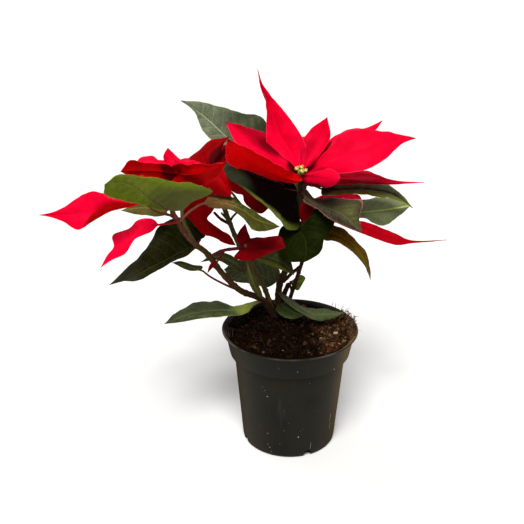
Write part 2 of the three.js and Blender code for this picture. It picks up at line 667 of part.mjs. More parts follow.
function addPiece(name, piece, look) {
  const mesh = mainBody(piece).getMesh();
  const geometry = new THREE.BufferGeometry();
  geometry.setAttribute("position", new THREE.BufferAttribute(new Float32Array(mesh.vertProperties), 3));
  geometry.setIndex(new THREE.BufferAttribute(new Uint32Array(mesh.triVerts), 1));
  geometry.computeVertexNormals();
  const material = new THREE.MeshStandardMaterial({ ...LOOKS[look], metalness: 0 });
  const node = new THREE.Mesh(geometry, material);
  node.name = name;
  group.add(node);
}

// A body turned about Z from a closed outline of [radius, height] points.
function turned(profile, segments) {
  const points = [];
  const ringOf = profile.map(([radius, z]) => {
    const first = points.length;
    const count = radius === 0 ? 1 : segments;
    for (let k = 0; k < count; k++) {
      const turn = (k / segments) * Math.PI * 2;
      points.push(new THREE.Vector3(Math.cos(turn) * radius, Math.sin(turn) * radius, z));
    }
    return { first, count };
  });
  const triangles = [];
  for (let i = 0; i < profile.length - 1; i++) {
    const low = ringOf[i];
    const high = ringOf[i + 1];
    for (let k = 0; k < segments; k++) {
      const next = (k + 1) % segments;
      const a = low.first + (low.count > 1 ? k : 0);
      const b = low.first + (low.count > 1 ? next : 0);
      const c = high.first + (high.count > 1 ? next : 0);
      const d = high.first + (high.count > 1 ? k : 0);
      if (a !== b) triangles.push([a, b, c]);
      if (c !== d) triangles.push([a, c, d]);
    }
  }
  return solid(points, triangles);
}

const bandFootZ = POT.height - POT.bandHeight - POT.lipThick;
const innerStep = { low: bandFootZ - 1, high: bandFootZ + 3 }; // heights of the step inside the wall
const innerAt = (radius) => radius - POT.wall;

function potShape() {
  const top = POT.height;
  const corner = POT.baseRound * (1 - Math.SQRT1_2);
  return turned(
    [
      [0, 0],
      [POT.base - POT.baseRound, 0],
      [POT.base - corner, corner],
      [POT.base, POT.baseRound],
      [POT.shoulder, bandFootZ],
      [POT.bandFoot, bandFootZ + POT.bandStep],
      [POT.bandTop, top - POT.lipThick - POT.flare],
      [POT.lip - POT.lipThick, top - POT.lipThick],
      [POT.lip, top - POT.lipEdge],
      [POT.lip - POT.lipEdge, top],
      [POT.lip - POT.lipFlat, top],
      [innerAt(POT.bandTop), top - POT.throat],
      [innerAt(POT.bandFoot), innerStep.high],
      [innerAt(POT.shoulder), innerStep.low],
      [innerAt(POT.base), POT.floor + POT.cove],
      [innerAt(POT.base) - POT.cove, POT.floor],
      [0, POT.floor],
    ],
    POT.segments,
  );
}

// Blocks that cut the drainage notches into the pot's lower edge.
function notches() {
  const cuts = [];
  for (let k = 0; k < NOTCH.count; k++) {
    const box = new THREE.BoxGeometry(NOTCH.depth * 2, NOTCH.width, NOTCH.height * 2);
    box.translate(POT.base, 0, 0);
    box.rotateZ(radians(NOTCH.turn + (k * 360) / NOTCH.count));
    cuts.push(solidFrom(box));
  }
  return fuse(cuts);
}

// Height of the heaped soil at a place, highest at the crown, lowest at the back right.
function soilHeight(x, y) {
  const away = Math.hypot(x - SOIL.heapAt[0], y - SOIL.heapAt[1]) / SOIL.heapSpread;
  const rough = Math.sin(x * 0.83 + 1.7) * Math.cos(y * 0.71) + Math.sin(x * 0.31 - y * 0.47 + 0.6);
  const calm = Math.min(1, Math.max(0, (POT.bandFoot - Math.hypot(x, y)) / SOIL.calm));
  const fall = x * SOIL.slope[0] + y * SOIL.slope[1];
  return SOIL.rim + SOIL.heap * Math.exp(-away * away) - fall + SOIL.roughness * rough * calm;
}

// The soil fills the pot, GAP clear of its wall and floor, up to the heaped surface.
function soilShape() {
  const clear = GAP + SOIL.spare;
  const floor = POT.floor + GAP;
  const bandLow = innerStep.high + clear;
  const bandHigh = POT.height - POT.throat;
  const bandWall = (z) => {
    const share = (z - bandLow) / (bandHigh - bandLow);
    const opening = Math.max(0, z - bandHigh - SOIL.neck) * SOIL.spread;
    return lerp(innerAt(POT.bandFoot), innerAt(POT.bandTop), Math.min(1, share)) + opening - clear;
  };
  const brim = (turn) => {
    let radius = POT.bandFoot;
    for (let k = 0; k < 4; k++) {
      radius = bandWall(soilHeight(Math.cos(turn) * radius, Math.sin(turn) * radius));
    }
    return radius;
  };
  const neck = (turn) => {
    const radius = brim(turn);
    const z = soilHeight(Math.cos(turn) * radius, Math.sin(turn) * radius);
    return Math.min(z - SOIL.neck, bandHigh - SOIL.neck);
  };
  const rings = [];
  const points = [new THREE.Vector3(0, 0, floor)];
  const addRing = (radiusAt, heightAt) => {
    rings.push(points.length);
    for (let k = 0; k < POT.segments; k++) {
      const turn = (k / POT.segments) * Math.PI * 2;
      const x = Math.cos(turn) * radiusAt(turn);
      const y = Math.sin(turn) * radiusAt(turn);
      points.push(new THREE.Vector3(x, y, heightAt(x, y, turn)));
    }
  };
  const side = [
    [innerAt(POT.base) - POT.cove - clear, floor],
    [innerAt(POT.base) - clear, floor + POT.cove],
    [innerAt(POT.shoulder) - clear, innerStep.low + GAP],
    [bandWall(bandLow), bandLow],
  ];
  for (const [radius, z] of side) addRing(() => radius, () => z);
  addRing((turn) => bandWall(neck(turn)), (x, y, turn) => neck(turn));
  for (let i = SOIL.rings; i > 0; i--) addRing((turn) => (brim(turn) * i) / SOIL.rings, soilHeight);
  points.push(new THREE.Vector3(0, 0, soilHeight(0, 0)));
  const triangles = [];
  const top = rings[rings.length - 1];
  for (let k = 0; k < POT.segments; k++) {
    const next = (k + 1) % POT.segments;
    triangles.push([0, rings[0] + next, rings[0] + k]);
    triangles.push([top + k, top + next, points.length - 1]);
    for (let i = 0; i < rings.length - 1; i++) {
      const low = rings[i];
      const high = rings[i + 1];
      triangles.push([low + k, low + next, high + next], [low + k, high + next, high + k]);
    }
  }
  return solid(points, triangles);
}

// The branching stem, or with grow the room that its neighbours leave for it.
function stemShape(grow) {
  return fuse(STEMS.map(({ path, foot, top }) => rod(path, foot, top, foot > 1.8 ? 6 : 5, grow)));
}

const stemRoom = stemShape(GAP);

function stalkedBlade(spec) {
  const sunkEnd = curveThrough(spec.rib).getPointAt(STALK.sunk).toArray();
  const stalk = rod([...spec.stalk, spec.rib[0], sunkEnd], STALK.foot, STALK.top, STALK.sides);
  return blade(spec).add(stalk).subtract(stemRoom);
}

// A bloom's bracts, each rooted at its heart.
function bractsShape(bloom, grow) {
  const rooted = bloom.blades.map((spec) => ({ ...spec, rib: [bloom.centre, ...spec.rib] }));
  return fuse([ball(bloom.centre, bloom.radius + grow), ...rooted.map((spec) => blade(spec, grow * 2))]);
}

function cyathiaShape(bloom) {
  return fuse(bloom.cyathia.map(([centre, radius]) => ball(centre, radius)));
}

addPiece("pot", potShape().subtract(notches()), "pot");
addPiece("soil", soilShape().subtract(stemRoom), "soil");
addPiece("stem", stemShape(0), "stem");
for (const [name, spec] of Object.entries({ ...LEAVES, ...LONG_BRACTS })) {
  addPiece(name, stalkedBlade(spec), spec.colour);
}
for (const [name, bloom] of Object.entries(BLOOMS)) {
  addPiece(name, bractsShape(bloom, 0).subtract(stemRoom), bloom.colour);
  const beads = cyathiaShape(bloom).subtract(bractsShape(bloom, GAP));
  addPiece(name.replace("bracts", "cyathia"), beads, "cyathia");
}

export default group;
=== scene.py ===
"""A potted poinsettia: what its pieces look like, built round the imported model.

The pot, soil, stem, leaves, bracts and cyathia are rebuilt finely over the shapes of the model's own
solids, which they replace. Sizes are in millimetres until a mesh is made.
"""
import math
import random

import bmesh
import bpy
import numpy as np
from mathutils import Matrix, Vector, noise


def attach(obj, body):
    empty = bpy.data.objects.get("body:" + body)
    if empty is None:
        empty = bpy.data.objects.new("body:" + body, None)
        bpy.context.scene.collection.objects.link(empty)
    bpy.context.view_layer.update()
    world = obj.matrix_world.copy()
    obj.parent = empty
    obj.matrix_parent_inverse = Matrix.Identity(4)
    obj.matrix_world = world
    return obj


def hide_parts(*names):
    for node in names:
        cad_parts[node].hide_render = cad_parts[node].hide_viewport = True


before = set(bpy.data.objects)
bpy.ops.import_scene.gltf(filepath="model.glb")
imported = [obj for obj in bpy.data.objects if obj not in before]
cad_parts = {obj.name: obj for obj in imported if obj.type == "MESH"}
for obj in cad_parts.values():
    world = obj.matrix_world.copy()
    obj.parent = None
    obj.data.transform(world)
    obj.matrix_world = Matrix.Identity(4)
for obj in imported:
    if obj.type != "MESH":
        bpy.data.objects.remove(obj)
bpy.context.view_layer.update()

MM = 0.001

# ---------- The shapes, nearly as in the part's source ----------
POT = {
    "height": 108,
    "lip": 60,
    "lip_thick": 1.3,
    "lip_flat": 1.8,
    "flare": 1.6,
    "throat": 2.2,
    "band_top": 56.8,
    "band_foot": 53,
    "band_height": 21,
    "band_step": 0.8,
    "shoulder": 49.2,
    "base": 41.7,
    "base_round": 3,
    "wall": 1.5,
    "floor": 2,
    "segments": 192,
}
BAND_Z = POT["height"] - POT["band_height"] - POT["lip_thick"]
NOTCH = {"width": 7, "height": 6, "depth": 5, "count": 4, "turn": 22, "round": 1.4}
SOIL = {
    "rim": 105,
    "heap": 9,
    "heap_at": (-12, 4),
    "heap_spread": 30,
    "slope": (0.012, 0.05),
    "roughness": 0.65,
    "calm": 10,
    "clear": 0.35,
    "spread": 0.7,
}

# Stem pieces: points up the piece, then its radius at its foot and at its top. The first is the
# trunk, which stands in the soil.
STEMS = [
    ([[-9, 8, 84], [-9, 8, 100], [-12, 9, 116], [-12, 9, 121]], 6, 4.2),
    ([[-12, 8, 112], [-24, 3, 133], [-43, -6, 146], [-58, -13, 165], [-71, -18, 186], [-79, -22, 194]],
        2.9, 2.3),
    ([[-79, -22, 194], [-86, -27, 205], [-91, -31, 217], [-95, -34, 227], [-91, -36, 241],
        [-85, -37, 252]], 2, 2.2),
    ([[-79, -22, 194], [-83, -26, 205], [-87, -30, 217], [-88, -32, 232]], 1.7, 1.5),
    ([[-14, 9, 114], [-22, 6, 142], [-32, 2, 164], [-40, -2, 178], [-47, -5, 195], [-54, -7, 216],
        [-62, -6, 236], [-65, -5, 245]], 2.3, 1.8),
    ([[-52, -7, 207], [-59, -6, 211], [-64, -5, 216]], 1.3, 1.1),
    ([[-52, -7, 207], [-49, -5, 212], [-44, -4, 217]], 1, 0.9),
    ([[-53, -7, 210], [-58, -6, 216]], 0.9, 0.8),
    ([[-11, 9, 114], [-9, 9, 146], [-4, 7, 160], [0, 4, 180], [4, 2, 204], [6, 0, 230], [6, 0, 243]],
        3, 2.4),
    ([[-5, 10, 112], [1, 14, 132], [9, 13, 160], [15, 13, 184], [19, 12, 205]], 1.9, 1.5),
    ([[-6, 8, 148], [1, 10, 155], [9, 12, 161]], 1.5, 1.5),
    ([[-11, 12, 112], [-5, 17, 132], [-1, 19, 141]], 2, 2.2),
    ([[-67, -17, 182], [-57, -25, 190], [-42, -32, 195]], 1.2, 1.4),
    ([[-62, -6, 236], [-55, -10, 238], [-49, -12, 235], [-45, -13, 230], [-39, -14, 223]], 1.1, 0.9),
]

# Blades. rib: points along the midrib from base to tip. left and right: points along the two edges
# between the same ends, looking from base to tip with the upper side up. A blade without edges has
# face, where its upper side looks, and half, its widest half width. The two lists of marks, soft oval
# spots of the look's two mark colours as marked() reads them, are painted shade and, in patch,
# painted light: lit bands, lit tips and highlight lines, on some leaves also a paler patch of their own
# colour.
LEAVES = {
    "leaf_back_left": {
        "stalk": [[4, 2, 214], [-6, 10, 232]],
        "rib": [[-20, 20, 244], [-38, 34, 254], [-56, 42, 269], [-73, 46, 284], [-93, 44, 299]],
        "left": [[-30, 20, 250], [-52, 28, 259], [-67, 34, 267], [-75, 38, 275], [-82, 42, 290]],
        "right": [[-14, 36, 258], [-18, 48, 273], [-25, 52, 283], [-44, 54, 287], [-73, 50, 296]],
        "dark": [(0.38, -0.8, 0.3, 0.9, 0.95)],
    },
    "leaf_cupped": {
        "stalk": [[5, 1, 228]],
        "rib": [[4, -10, 236], [-10, -27, 244], [-25, -40, 252], [-38, -50, 261], [-53, -58, 268]],
        "left": [[5, -20, 208], [-4, -30, 210], [-15, -41, 227], [-30, -50, 243], [-41, -56, 254],
            [-50, -59, 261]],
        "right": [[1, -5, 240], [-4, 0, 241], [-20, -6, 247], [-37, -22, 258], [-49.6, -39.5, 269]],
        "dark": [(1, 0, 0.27, 2, 1)],
        "patch": [(0.43, 1, 0.19, 0.2, 1), (0.72, 1, 0.2, 0.14, 1)],
    },
    "leaf_grey_pink": {
        "stalk": [[6, 0, 232]],
        "rib": [[10, -10, 233], [23, -24, 228], [38, -34, 224], [54, -42, 212]],
        "left": [[11, -7, 236], [14, -8, 233], [18, -10, 230], [23, -13, 231], [32, -16, 232],
            [47, -22, 233], [55, -26, 232], [52, -36, 221]],
        "right": [[9, -13, 230], [11, -16, 228], [20, -27, 226], [29, -33, 220], [41, -38, 216]],
        "dark": [(0.1, 0.6, 0.45, 0.9, 1)],
        "patch": [(0.75, 0.2, 0.3, 0.6, 0.6)],
    },
    "leaf_right_upper": {
        "stalk": [[6, 1, 236], [15, 5, 237]],
        "rib": [[25, 9, 232], [43, 13, 230], [62, 18, 229], [86, 22, 224], [105, 22, 211]],
        "left": [[28, 15, 235], [46, 24, 234], [65, 28, 232], [82, 28, 230], [93, 26, 224]],
        "right": [[25, 5, 228], [37, 5, 228], [57, 8, 228], [69, 11, 225], [86, 16, 221], [98, 20, 216]],
        "dark": [(0.35, -0.1, 0.5, 0.28, 0.8), (0, 0, 0.16, 2, 0.9)],
        "patch": [(0.6, -0.95, 0.55, 0.4, 1), (1, 0, 0.18, 2, 0.9), (0.45, 0.9, 0.5, 0.25, 0.3)],
    },
    "leaf_right_rear": {
        "stalk": [[19, 12, 204]],
        "rib": [[23, 14, 208], [47, 20, 206], [65, 26, 206], [83, 32, 206], [106, 38, 208]],
        "left": [[39, 28, 211], [66, 38, 214], [93, 42, 213]],
        "right": [[37, 12, 204], [61, 16, 204], [80, 22, 195], [95, 32, 200]],
        "dark": [(0.3, -0.12, 0.2, 0.15, 0.7)],
        "patch": [(0.7, 0.4, 0.45, 1, 0.9)],
    },
    "leaf_round_centre": {
        "stalk": [[4, 2, 205]],
        "rib": [[1, -11, 206], [9, -24, 202], [11, -34, 196], [9, -40, 186]],
        "left": [[8, -9, 208], [16, -10, 213], [19, -12, 220], [21, -15, 226], [29, -18, 221],
            [34, -20, 214], [31, -23, 207], [25, -29, 201], [24, -33, 195], [21, -36, 191], [15, -38, 188]],
        "right": [[-7, -10, 206], [-12, -18, 197], [-9, -30, 188], [-2, -36, 185]],
    },
    "leaf_hanging_right": {
        "stalk": [[18, 12, 200], [22, 2, 202]],
        "rib": [[25, -6, 199], [35, -13, 200], [47, -18, 195], [57, -20, 184], [66, -19, 162]],
        "left": [[29, -4, 207], [37, -8, 205], [45, -11, 202], [51, -13, 197], [57, -15, 190],
            [62, -16, 184], [65, -17, 173]],
        "right": [[27, -10, 194], [35, -16, 195], [43, -20, 192], [49, -22, 188], [56, -23, 181],
            [62, -22, 172]],
        "patch": [(0.8, -0.4, 0.4, 0.6, 0.8)],
    },
    "leaf_low_centre": {
        "stalk": [[-44, -4, 187], [-38, -10, 184]],
        "rib": [[-35, -15, 181], [-20, -18, 181], [-8, -22, 178], [2, -24, 168]],
        "left": [[-25, -10, 183], [-16, -11, 186], [-8, -14, 185], [-1, -19, 178]],
        "right": [[-25, -20, 178], [-12, -24, 174]],
        "patch": [(0.4, -0.8, 0.5, 0.35, 0.8)],
    },
    "leaf_round_rear": {
        "stalk": [[-9, 9, 140]],
        "rib": [[-9, 21, 144], [-25, 28, 145], [-41, 33, 147], [-59, 36, 148]],
        "left": [[-19, 22, 137], [-35, 25, 139], [-51, 29, 140]],
        "right": [[-9, 25, 152], [-19, 34, 156], [-35, 40, 157], [-50, 40, 154]],
    },
    "leaf_young": {
        "stalk": [[2, 14, 134]],
        "rib": [[0, 18, 144], [6, 19, 143], [14, 20, 146]],
        "left": [[3, 18, 146], [8, 19, 150], [13, 20, 148]],
        "right": [[3, 17, 139], [7, 17, 136], [11, 19, 140]],
    },
    "leaf_front_left": {
        "stalk": [[-94, -35, 232]],
        "rib": [[-98, -41, 230], [-107, -60, 244], [-114, -79, 259], [-122, -96, 269], [-131, -110, 271]],
        "left": [[-87, -43, 230], [-78, -48, 239], [-62, -54, 248.3], [-70, -64, 256.8], [-84, -75, 262.2],
            [-103, -90, 270], [-121, -104, 276]],
        "right": [[-103, -48, 232.2], [-112.5, -62, 240.8], [-124, -82, 250.6], [-133, -100, 261]],
        "patch": [(0.7, 0.85, 0.5, 0.3, 0.7)],
        "dark": [(0.15, 0.4, 0.3, 0.9, 0.8)],
    },
    "leaf_dark_left": {
        "stalk": [[-79, -22, 194]],
        "rib": [[-75, -15, 196], [-84, -19, 191], [-98, -26, 185], [-115, -36, 179], [-130, -42, 173],
            [-146, -48, 170]],
        "left": [[-77, -19, 192], [-86, -23, 185], [-95, -29, 183], [-108, -37, 178], [-125, -43, 171],
            [-136, -46, 172]],
        "right": [[-71, -10, 198], [-73, -7, 205], [-80, -4, 211], [-88, -3, 212], [-100, -8, 211],
            [-111, -13, 204], [-118, -22, 192], [-130, -33, 182]],
        "patch": [(1, 0, 0.3, 2, 0.7)],
    },
    "leaf_small_left": {
        "stalk": [[-43, -6, 146], [-50, -9, 150], [-61, -12, 157], [-69, -14, 163]],
        "rib": [[-75, -16, 169], [-87, -20, 174], [-98, -26, 180]],
        "left": [[-84, -22, 171], [-92, -25, 176]],
        "right": [[-74, -12, 171], [-83, -14, 173], [-91, -20, 179]],
    },
    "leaf_bottom_left": {
        "stalk": [[-11, 8, 112], [-17, 5, 124]],
        "rib": [[-24, 2, 133], [-44, -8, 129], [-65, -14, 131], [-86, -18, 129], [-108, -20, 121]],
        "left": [[-32, -2, 129], [-39, -12, 127], [-59, -20, 128], [-77, -22, 127], [-92, -22, 124]],
        "right": [[-37, 4, 130], [-47, 2, 127], [-63, 0, 133], [-80, -4, 134], [-97, -12, 129]],
        "patch": [(0.08, 0, 0.25, 2, 0.9)],
    },
    "leaf_over_soil": {
        "stalk": [[-9, 9, 136]],
        "rib": [[-11, 6, 140], [-1, 4, 132], [9, 2, 126], [19, 0, 121], [36, 6, 118], [48, 10, 117]],
        "left": [[-2, 8, 134], [7, 6, 128], [14, 4, 125], [30, 8, 122]],
        "right": [[-8, 4, 135], [2, 0, 127], [9, -2, 123], [19, -4, 118], [28, 0, 114], [41, 6, 115]],
        "patch": [(0.85, 0, 0.35, 2, 0.8)],
    },
    "leaf_low_shaded": {
        "stalk": [[-11, 9, 122]],
        "rib": [[-10, 8, 128], [-3, 3, 124], [11, -3, 120]],
        "left": [[-2, 12, 126], [9, 6, 121]],
        "right": [[-12, 0, 124], [-6, -6, 121], [2, -8, 120]],
    },
    "leaf_olive_middle": {
        "stalk": [[-90, -31, 217], [-81, -38, 228]],
        "rib": [[-70, -46, 237], [-55, -50, 239], [-41, -54, 235], [-28, -56, 227], [-11, -54, 221]],
        "left": [[-64, -44, 242], [-51, -46, 243], [-38, -50, 237], [-25, -52, 229]],
        "right": [[-61, -48, 234], [-47, -54, 234], [-38, -60, 229], [-31, -62, 221], [-20, -60, 220]],
        "patch": [(0, 0, 0.4, 2, 0.9)],
    },
    "leaf_strip": {
        "stalk": [[-17, 6, 126]],
        "rib": [[-25, -3, 138], [-31, -9, 152], [-35, -13, 165], [-37, -14, 176]],
        "face": [0, -1, 0.2], "half": 2.8,
    },
    "leaf_thin_left": {
        "stalk": [[-35, 1, 168]],
        "rib": [[-40, -4, 163], [-48, -8, 172], [-61, -10, 179], [-76, -10, 174]],
        "face": [0, -0.8, 0.6], "half": 4,
    },
    "leaf_olive_far": {
        "stalk": [[-91, -31, 218]],
        "rib": [[-100, -29, 223], [-116, -24, 226], [-138, -18, 222]],
        "face": [0, -0.6, 1], "half": 8,
    },
}

# The bracts of each bloom, and then its centre, and its beads: where each is and its radius.
RIGHT_BLOOM = [
    {  # tall, up and left
        "rib": [[5, 0, 252], [-2, 10, 264], [-11, 18, 278], [-18, 24, 295], [-25, 26, 311], [-28, 22, 328]],
        "left": [[-7, 3, 257], [-20, 10, 268], [-21, 14, 284], [-21, 18, 296], [-22, 21, 306],
            [-25, 23, 311]],
        "right": [[12, 4, 260], [10, 8, 272], [-3, 17, 291], [-12, 20, 301], [-18, 22, 308],
            [-24, 24, 316]],
        "dark": [(0, 0, 0.08, 2, 0.9)],
    },
    {  # small, upright
        "rib": [[9, -1, 253], [15, 6, 264], [23, 11, 278], [28, 10, 292]],
        "left": [[6, 4, 261], [8, 10, 272], [15, 14, 281]],
        "right": [[18, 2, 258], [27, 6, 268], [31, 8, 277]],
        "dark": [(0, 0, 0.1, 2, 0.9), (0.35, 0.4, 0.4, 0.7, 0.28)],
    },
    {  # large, right
        "rib": [[11, -2, 249], [33, -12, 264], [57, -14, 272], [78, -8, 276], [99, 0, 277]],
        "left": [[22, 2, 260], [33, 6, 272], [41, 4, 281], [54, 2, 284], [80, 2, 281]],
        "right": [[24, -10, 252], [37, -22, 254], [56, -26, 258], [72, -20, 265], [87, -6, 274]],
        "dark": [(0.07, 0.5, 0.11, 1, 0.95), (0.55, 0.5, 0.5, 0.8, 0.12)],
    },
    {  # behind the large one
        "rib": [[11, 8, 249], [37, 30, 260], [61, 42, 271], [78, 44, 282]],
        "left": [[23, 30, 260], [47, 50, 272], [67, 50, 275]],
        "right": [[32, 20, 254], [59, 36, 265], [73, 42, 275]],
        "dark": [(0.14, -0.4, 0.12, 0.8, 0.9)],
    },
    {  # inner, between the upright and the large one
        "rib": [[10, 6, 250], [22, 20, 258], [34, 28, 268]],
        "left": [[14, 20, 256], [26, 30, 265]],
        "right": [[20, 16, 252], [32, 24, 261]],
        "dark": [(0.4, 0, 1, 2, 0.8)],
    },
    {  # upper left, folded along its midrib
        "rib": [[1, -1, 252], [-12, 2, 259], [-28, 5, 269], [-40, 8, 278], [-54, 10, 288]],
        "left": [[-7, -10, 251], [-23, -15, 261], [-36, -15, 268], [-47, -2, 276]],
        "right": [[-2, 8, 259], [-10, 16, 266], [-20, 20, 275], [-33, 18, 281], [-44, 14, 285]],
        "dark": [(0.55, -0.55, 0.5, 0.62, 0.55), (0.45, -0.35, 0.16, 0.4, 0.3), (0.1, -0.1, 0.1, 1.2, 0.95)],
    },
    {  # front left, rising towards the front
        "rib": [[7, -8, 244], [-15, -30, 257], [-34, -48, 271], [-44, -60, 282], [-49, -70, 293]],
        "left": [[-10, -38, 264], [-28, -55, 279], [-40, -67, 288]],
        "right": [[4, -9, 242], [-4, -13, 244], [-18, -24, 250], [-34, -40, 261],
            [-44, -50, 266], [-50, -56, 272], [-51, -64, 283]],
    },
    {  # short, front right
        "rib": [[11, -9, 248], [19, -28, 253], [27, -44, 256], [34, -56, 259]],
        "left": [[18, -20, 255], [27, -34, 261], [33, -46, 261]],
        "right": [[11, -12, 242], [17, -22, 243], [23, -33, 246], [29, -46, 251]],
        "dark": [(0.35, -1, 0.32, 0.45, 1), (0, 0, 0.2, 2, 0.9)],
    },
    {  # low, right, edge on
        "rib": [[11, 0, 246], [44, 6, 242], [74, 12, 237], [111, 14, 236]],
        "left": [[41, 20, 243], [61, 26, 243], [74, 24, 240], [85, 18, 237]],
        "right": [[21, -3, 239], [35, -3, 239], [56, 0, 239], [80, 8, 236]],
        "dark": [(0.3, -0.85, 0.6, 0.5, 0.7)],
        "patch": [(0.33, -0.15, 0.06, 0.12, 0.8), (0.4, -0.05, 0.06, 0.12, 0.8),
            (0.47, 0.07, 0.06, 0.12, 0.8), (0.53, 0.16, 0.06, 0.12, 0.8), (0.59, 0.23, 0.06, 0.12, 0.7)],
    },
    {  # far left, only its tip showing
        "rib": [[7, 14, 255], [-8, 44, 258], [-21, 60, 270], [-33, 66, 283]],
        "left": [[-6, 42, 253], [-26, 60, 269]],
        "right": [[-2, 46, 260], [-22, 64, 275]],
    },
    {"rib": [[8, 5, 250], [15, 28, 257], [22, 54, 262], [30, 82, 256]], "face": [0, -0.3, 1], "half": 17},
    {"rib": [[5, 7, 250], [-2, 28, 247], [-8, 50, 242], [-16, 72, 232]], "face": [0, -0.1, 1], "half": 13},
]
LEFT_BLOOM = [
    {
        "rib": [[-90, -46, 260], [-100, -56, 265], [-114, -64, 268], [-127, -70, 269]],
        "left": [[-95, -48, 268], [-104, -55, 271], [-113, -60, 273], [-120, -64, 276]],
        "right": [[-94, -52, 256], [-102, -59, 259], [-111, -63, 262], [-120, -67, 264]],
        "dark": [(0.3, 0, 0.15, 1.6, 0.95), (0.7, 0.7, 0.5, 0.6, 0.25)],
    },
    {
        "rib": [[-89, -36, 262], [-102, -29, 264], [-113, -24, 265], [-123, -20, 263]],
        "left": [[-98, -40, 263], [-111, -34, 263]],
        "right": [[-98, -24, 265], [-106, -20, 264], [-113, -17, 267], [-120, -17, 266]],
    },
    {
        "rib": [[-88, -34, 262], [-93, -30, 268], [-97, -28, 276]],
        "left": [[-97, -32, 263], [-101, -28, 267], [-100, -28, 272]],
        "right": [[-82, -32, 264], [-88, -29, 268], [-93, -28, 272]],
        "dark": [(0.35, 0, 0.25, 0.5, 0.4)],
    },
    {
        "rib": [[-88, -44, 260], [-80, -60, 264], [-65, -70, 269], [-50, -76, 277]],
        "left": [[-94, -48, 255], [-80, -55, 254], [-68, -62, 256], [-57, -69, 265]],
        "right": [[-91, -54, 269], [-77, -64, 273], [-63, -72, 275]],
        "dark": [(0, 0, 0.12, 1.6, 0.8)],
    },
    {
        "rib": [[-84, -33, 259], [-92, -12, 258], [-102, 10, 252], [-110, 28, 242]],
        "face": [0, -0.2, 1],
        "half": 13,
    },
    {"rib": [[-81, -33, 260], [-78, -20, 262], [-77, -10, 258]], "face": [0, -0.2, 1], "half": 7},
    {  # drooping below the bloom
        "rib": [[-84, -37, 255], [-81, -30, 236], [-77, -24, 223], [-69, -20, 210],
            [-57, -18, 199], [-46, -18, 192]],
        "left": [[-87, -31, 235], [-89, -29, 225], [-84, -27, 219], [-78, -25, 211],
            [-70, -22, 202], [-64, -21, 200], [-52, -19, 193]],
        "right": [[-70.5, -28, 242], [-60.6, -22, 236.2], [-63, -16, 224], [-69, -15, 215],
            [-59, -15, 205], [-51, -16, 200]],
        "dark": [(0.5, 0, 1, 2, 0.6)],
    },
]
MIDDLE_BLOOM = [
    {
        "rib": [[-67, -9, 252], [-65, -24, 257], [-58, -40, 258], [-52, -50, 253], [-48, -52, 244]],
        "left": [[-60, -20, 262], [-53, -34, 265], [-50, -44, 263], [-48, -50, 254]],
        "right": [[-71, -22, 252], [-72, -32, 250], [-69, -42, 246], [-58, -50, 245]],
        "dark": [(0.5, -0.7, 0.6, 0.6, 0.6)],
    },
    {
        "rib": [[-68, -3, 254], [-72, 4, 261], [-64, 8, 269], [-51, 10, 276]],
        "left": [[-85, 0, 257], [-81, 6, 262], [-75, 10, 266], [-68, 12, 272], [-58, 12, 274]],
        "right": [[-63, -2, 258], [-59, 3, 264], [-56, 8, 270]],
        "dark": [(0.42, -1.0, 0.42, 0.6, 0.75), (0.5, 0, 1, 2, 0.35)],
    },
    {
        "rib": [[-63, -1, 252], [-59, 14, 257], [-52, 22, 266]],
        "left": [[-71, 14, 257], [-62, 22, 265]],
        "right": [[-58, 8, 254], [-53, 16, 260]],
        "dark": [(0.5, 0.2, 1, 1.2, 0.72)],
    },
    {
        "rib": [[-62, -4, 250], [-49, 0, 237], [-35, 0, 227], [-19, -2, 219]],
        "left": [[-51, 6, 242], [-35, 8, 231], [-21, 3, 223]],
        "right": [[-46, -4, 232], [-40, -5, 231], [-39, -5, 225], [-33, -6, 219], [-25, -5, 215]],
        "dark": [(0.5, 0, 1, 2, 0.9)],
    },
    {
        "rib": [[-64, -1, 250], [-66, 20, 254], [-70, 42, 252], [-76, 60, 244]],
        "face": [0, -0.2, 1],
        "half": 12,
    },
]
LOW_BLOOM = [
    {
        "rib": [[-41, -34, 195], [-28, -41, 198], [-17, -45, 200], [-6, -47, 201]],
        "left": [[-36, -30, 202], [-25, -35, 205], [-10, -41, 208]],
        "right": [[-47, -38, 190], [-36, -45, 189], [-25, -49, 194], [-14, -49, 199]],
    },
    {
        "rib": [[-40, -32, 199], [-40, -29, 206], [-38, -27, 214]],
        "left": [[-45, -31, 202], [-43, -28, 208]],
        "right": [[-34, -30, 200], [-36, -28, 208]],
    },
]
BLOOMS = {
    "bracts_right": {
        "centre": [6, 0, 246],
        "radius": 4,
        "cyathia": [[[7, -1, 249.5], 3.6], [[3.4, -3, 252.6], 1.9], [[7, -3, 253.5], 1.8],
            [[7.4, -4.6, 250.8], 1.9], [[10.8, -3, 251], 1.6]],
        "blades": RIGHT_BLOOM,
    },
    "bracts_left": {
        "centre": [-84, -38, 256],
        "radius": 4,
        "cyathia": [[[-84, -38.5, 260], 2.6], [[-86.5, -39.5, 261.3], 1.4], [[-82, -37, 261.6], 1.4]],
        "blades": LEFT_BLOOM,
    },
    "bracts_middle": {
        "centre": [-65, -5, 248],
        "radius": 3.5,
        "cyathia": [[[-65, -6, 251], 2.2], [[-63, -8, 252.5], 1.4]],
        "blades": MIDDLE_BLOOM,
    },
    "bracts_low": {
        "centre": [-40, -33, 196],
        "radius": 2.5,
        "cyathia": [[[-37.5, -35.5, 198], 1.6]],
        "blades": LOW_BLOOM,
    },
}

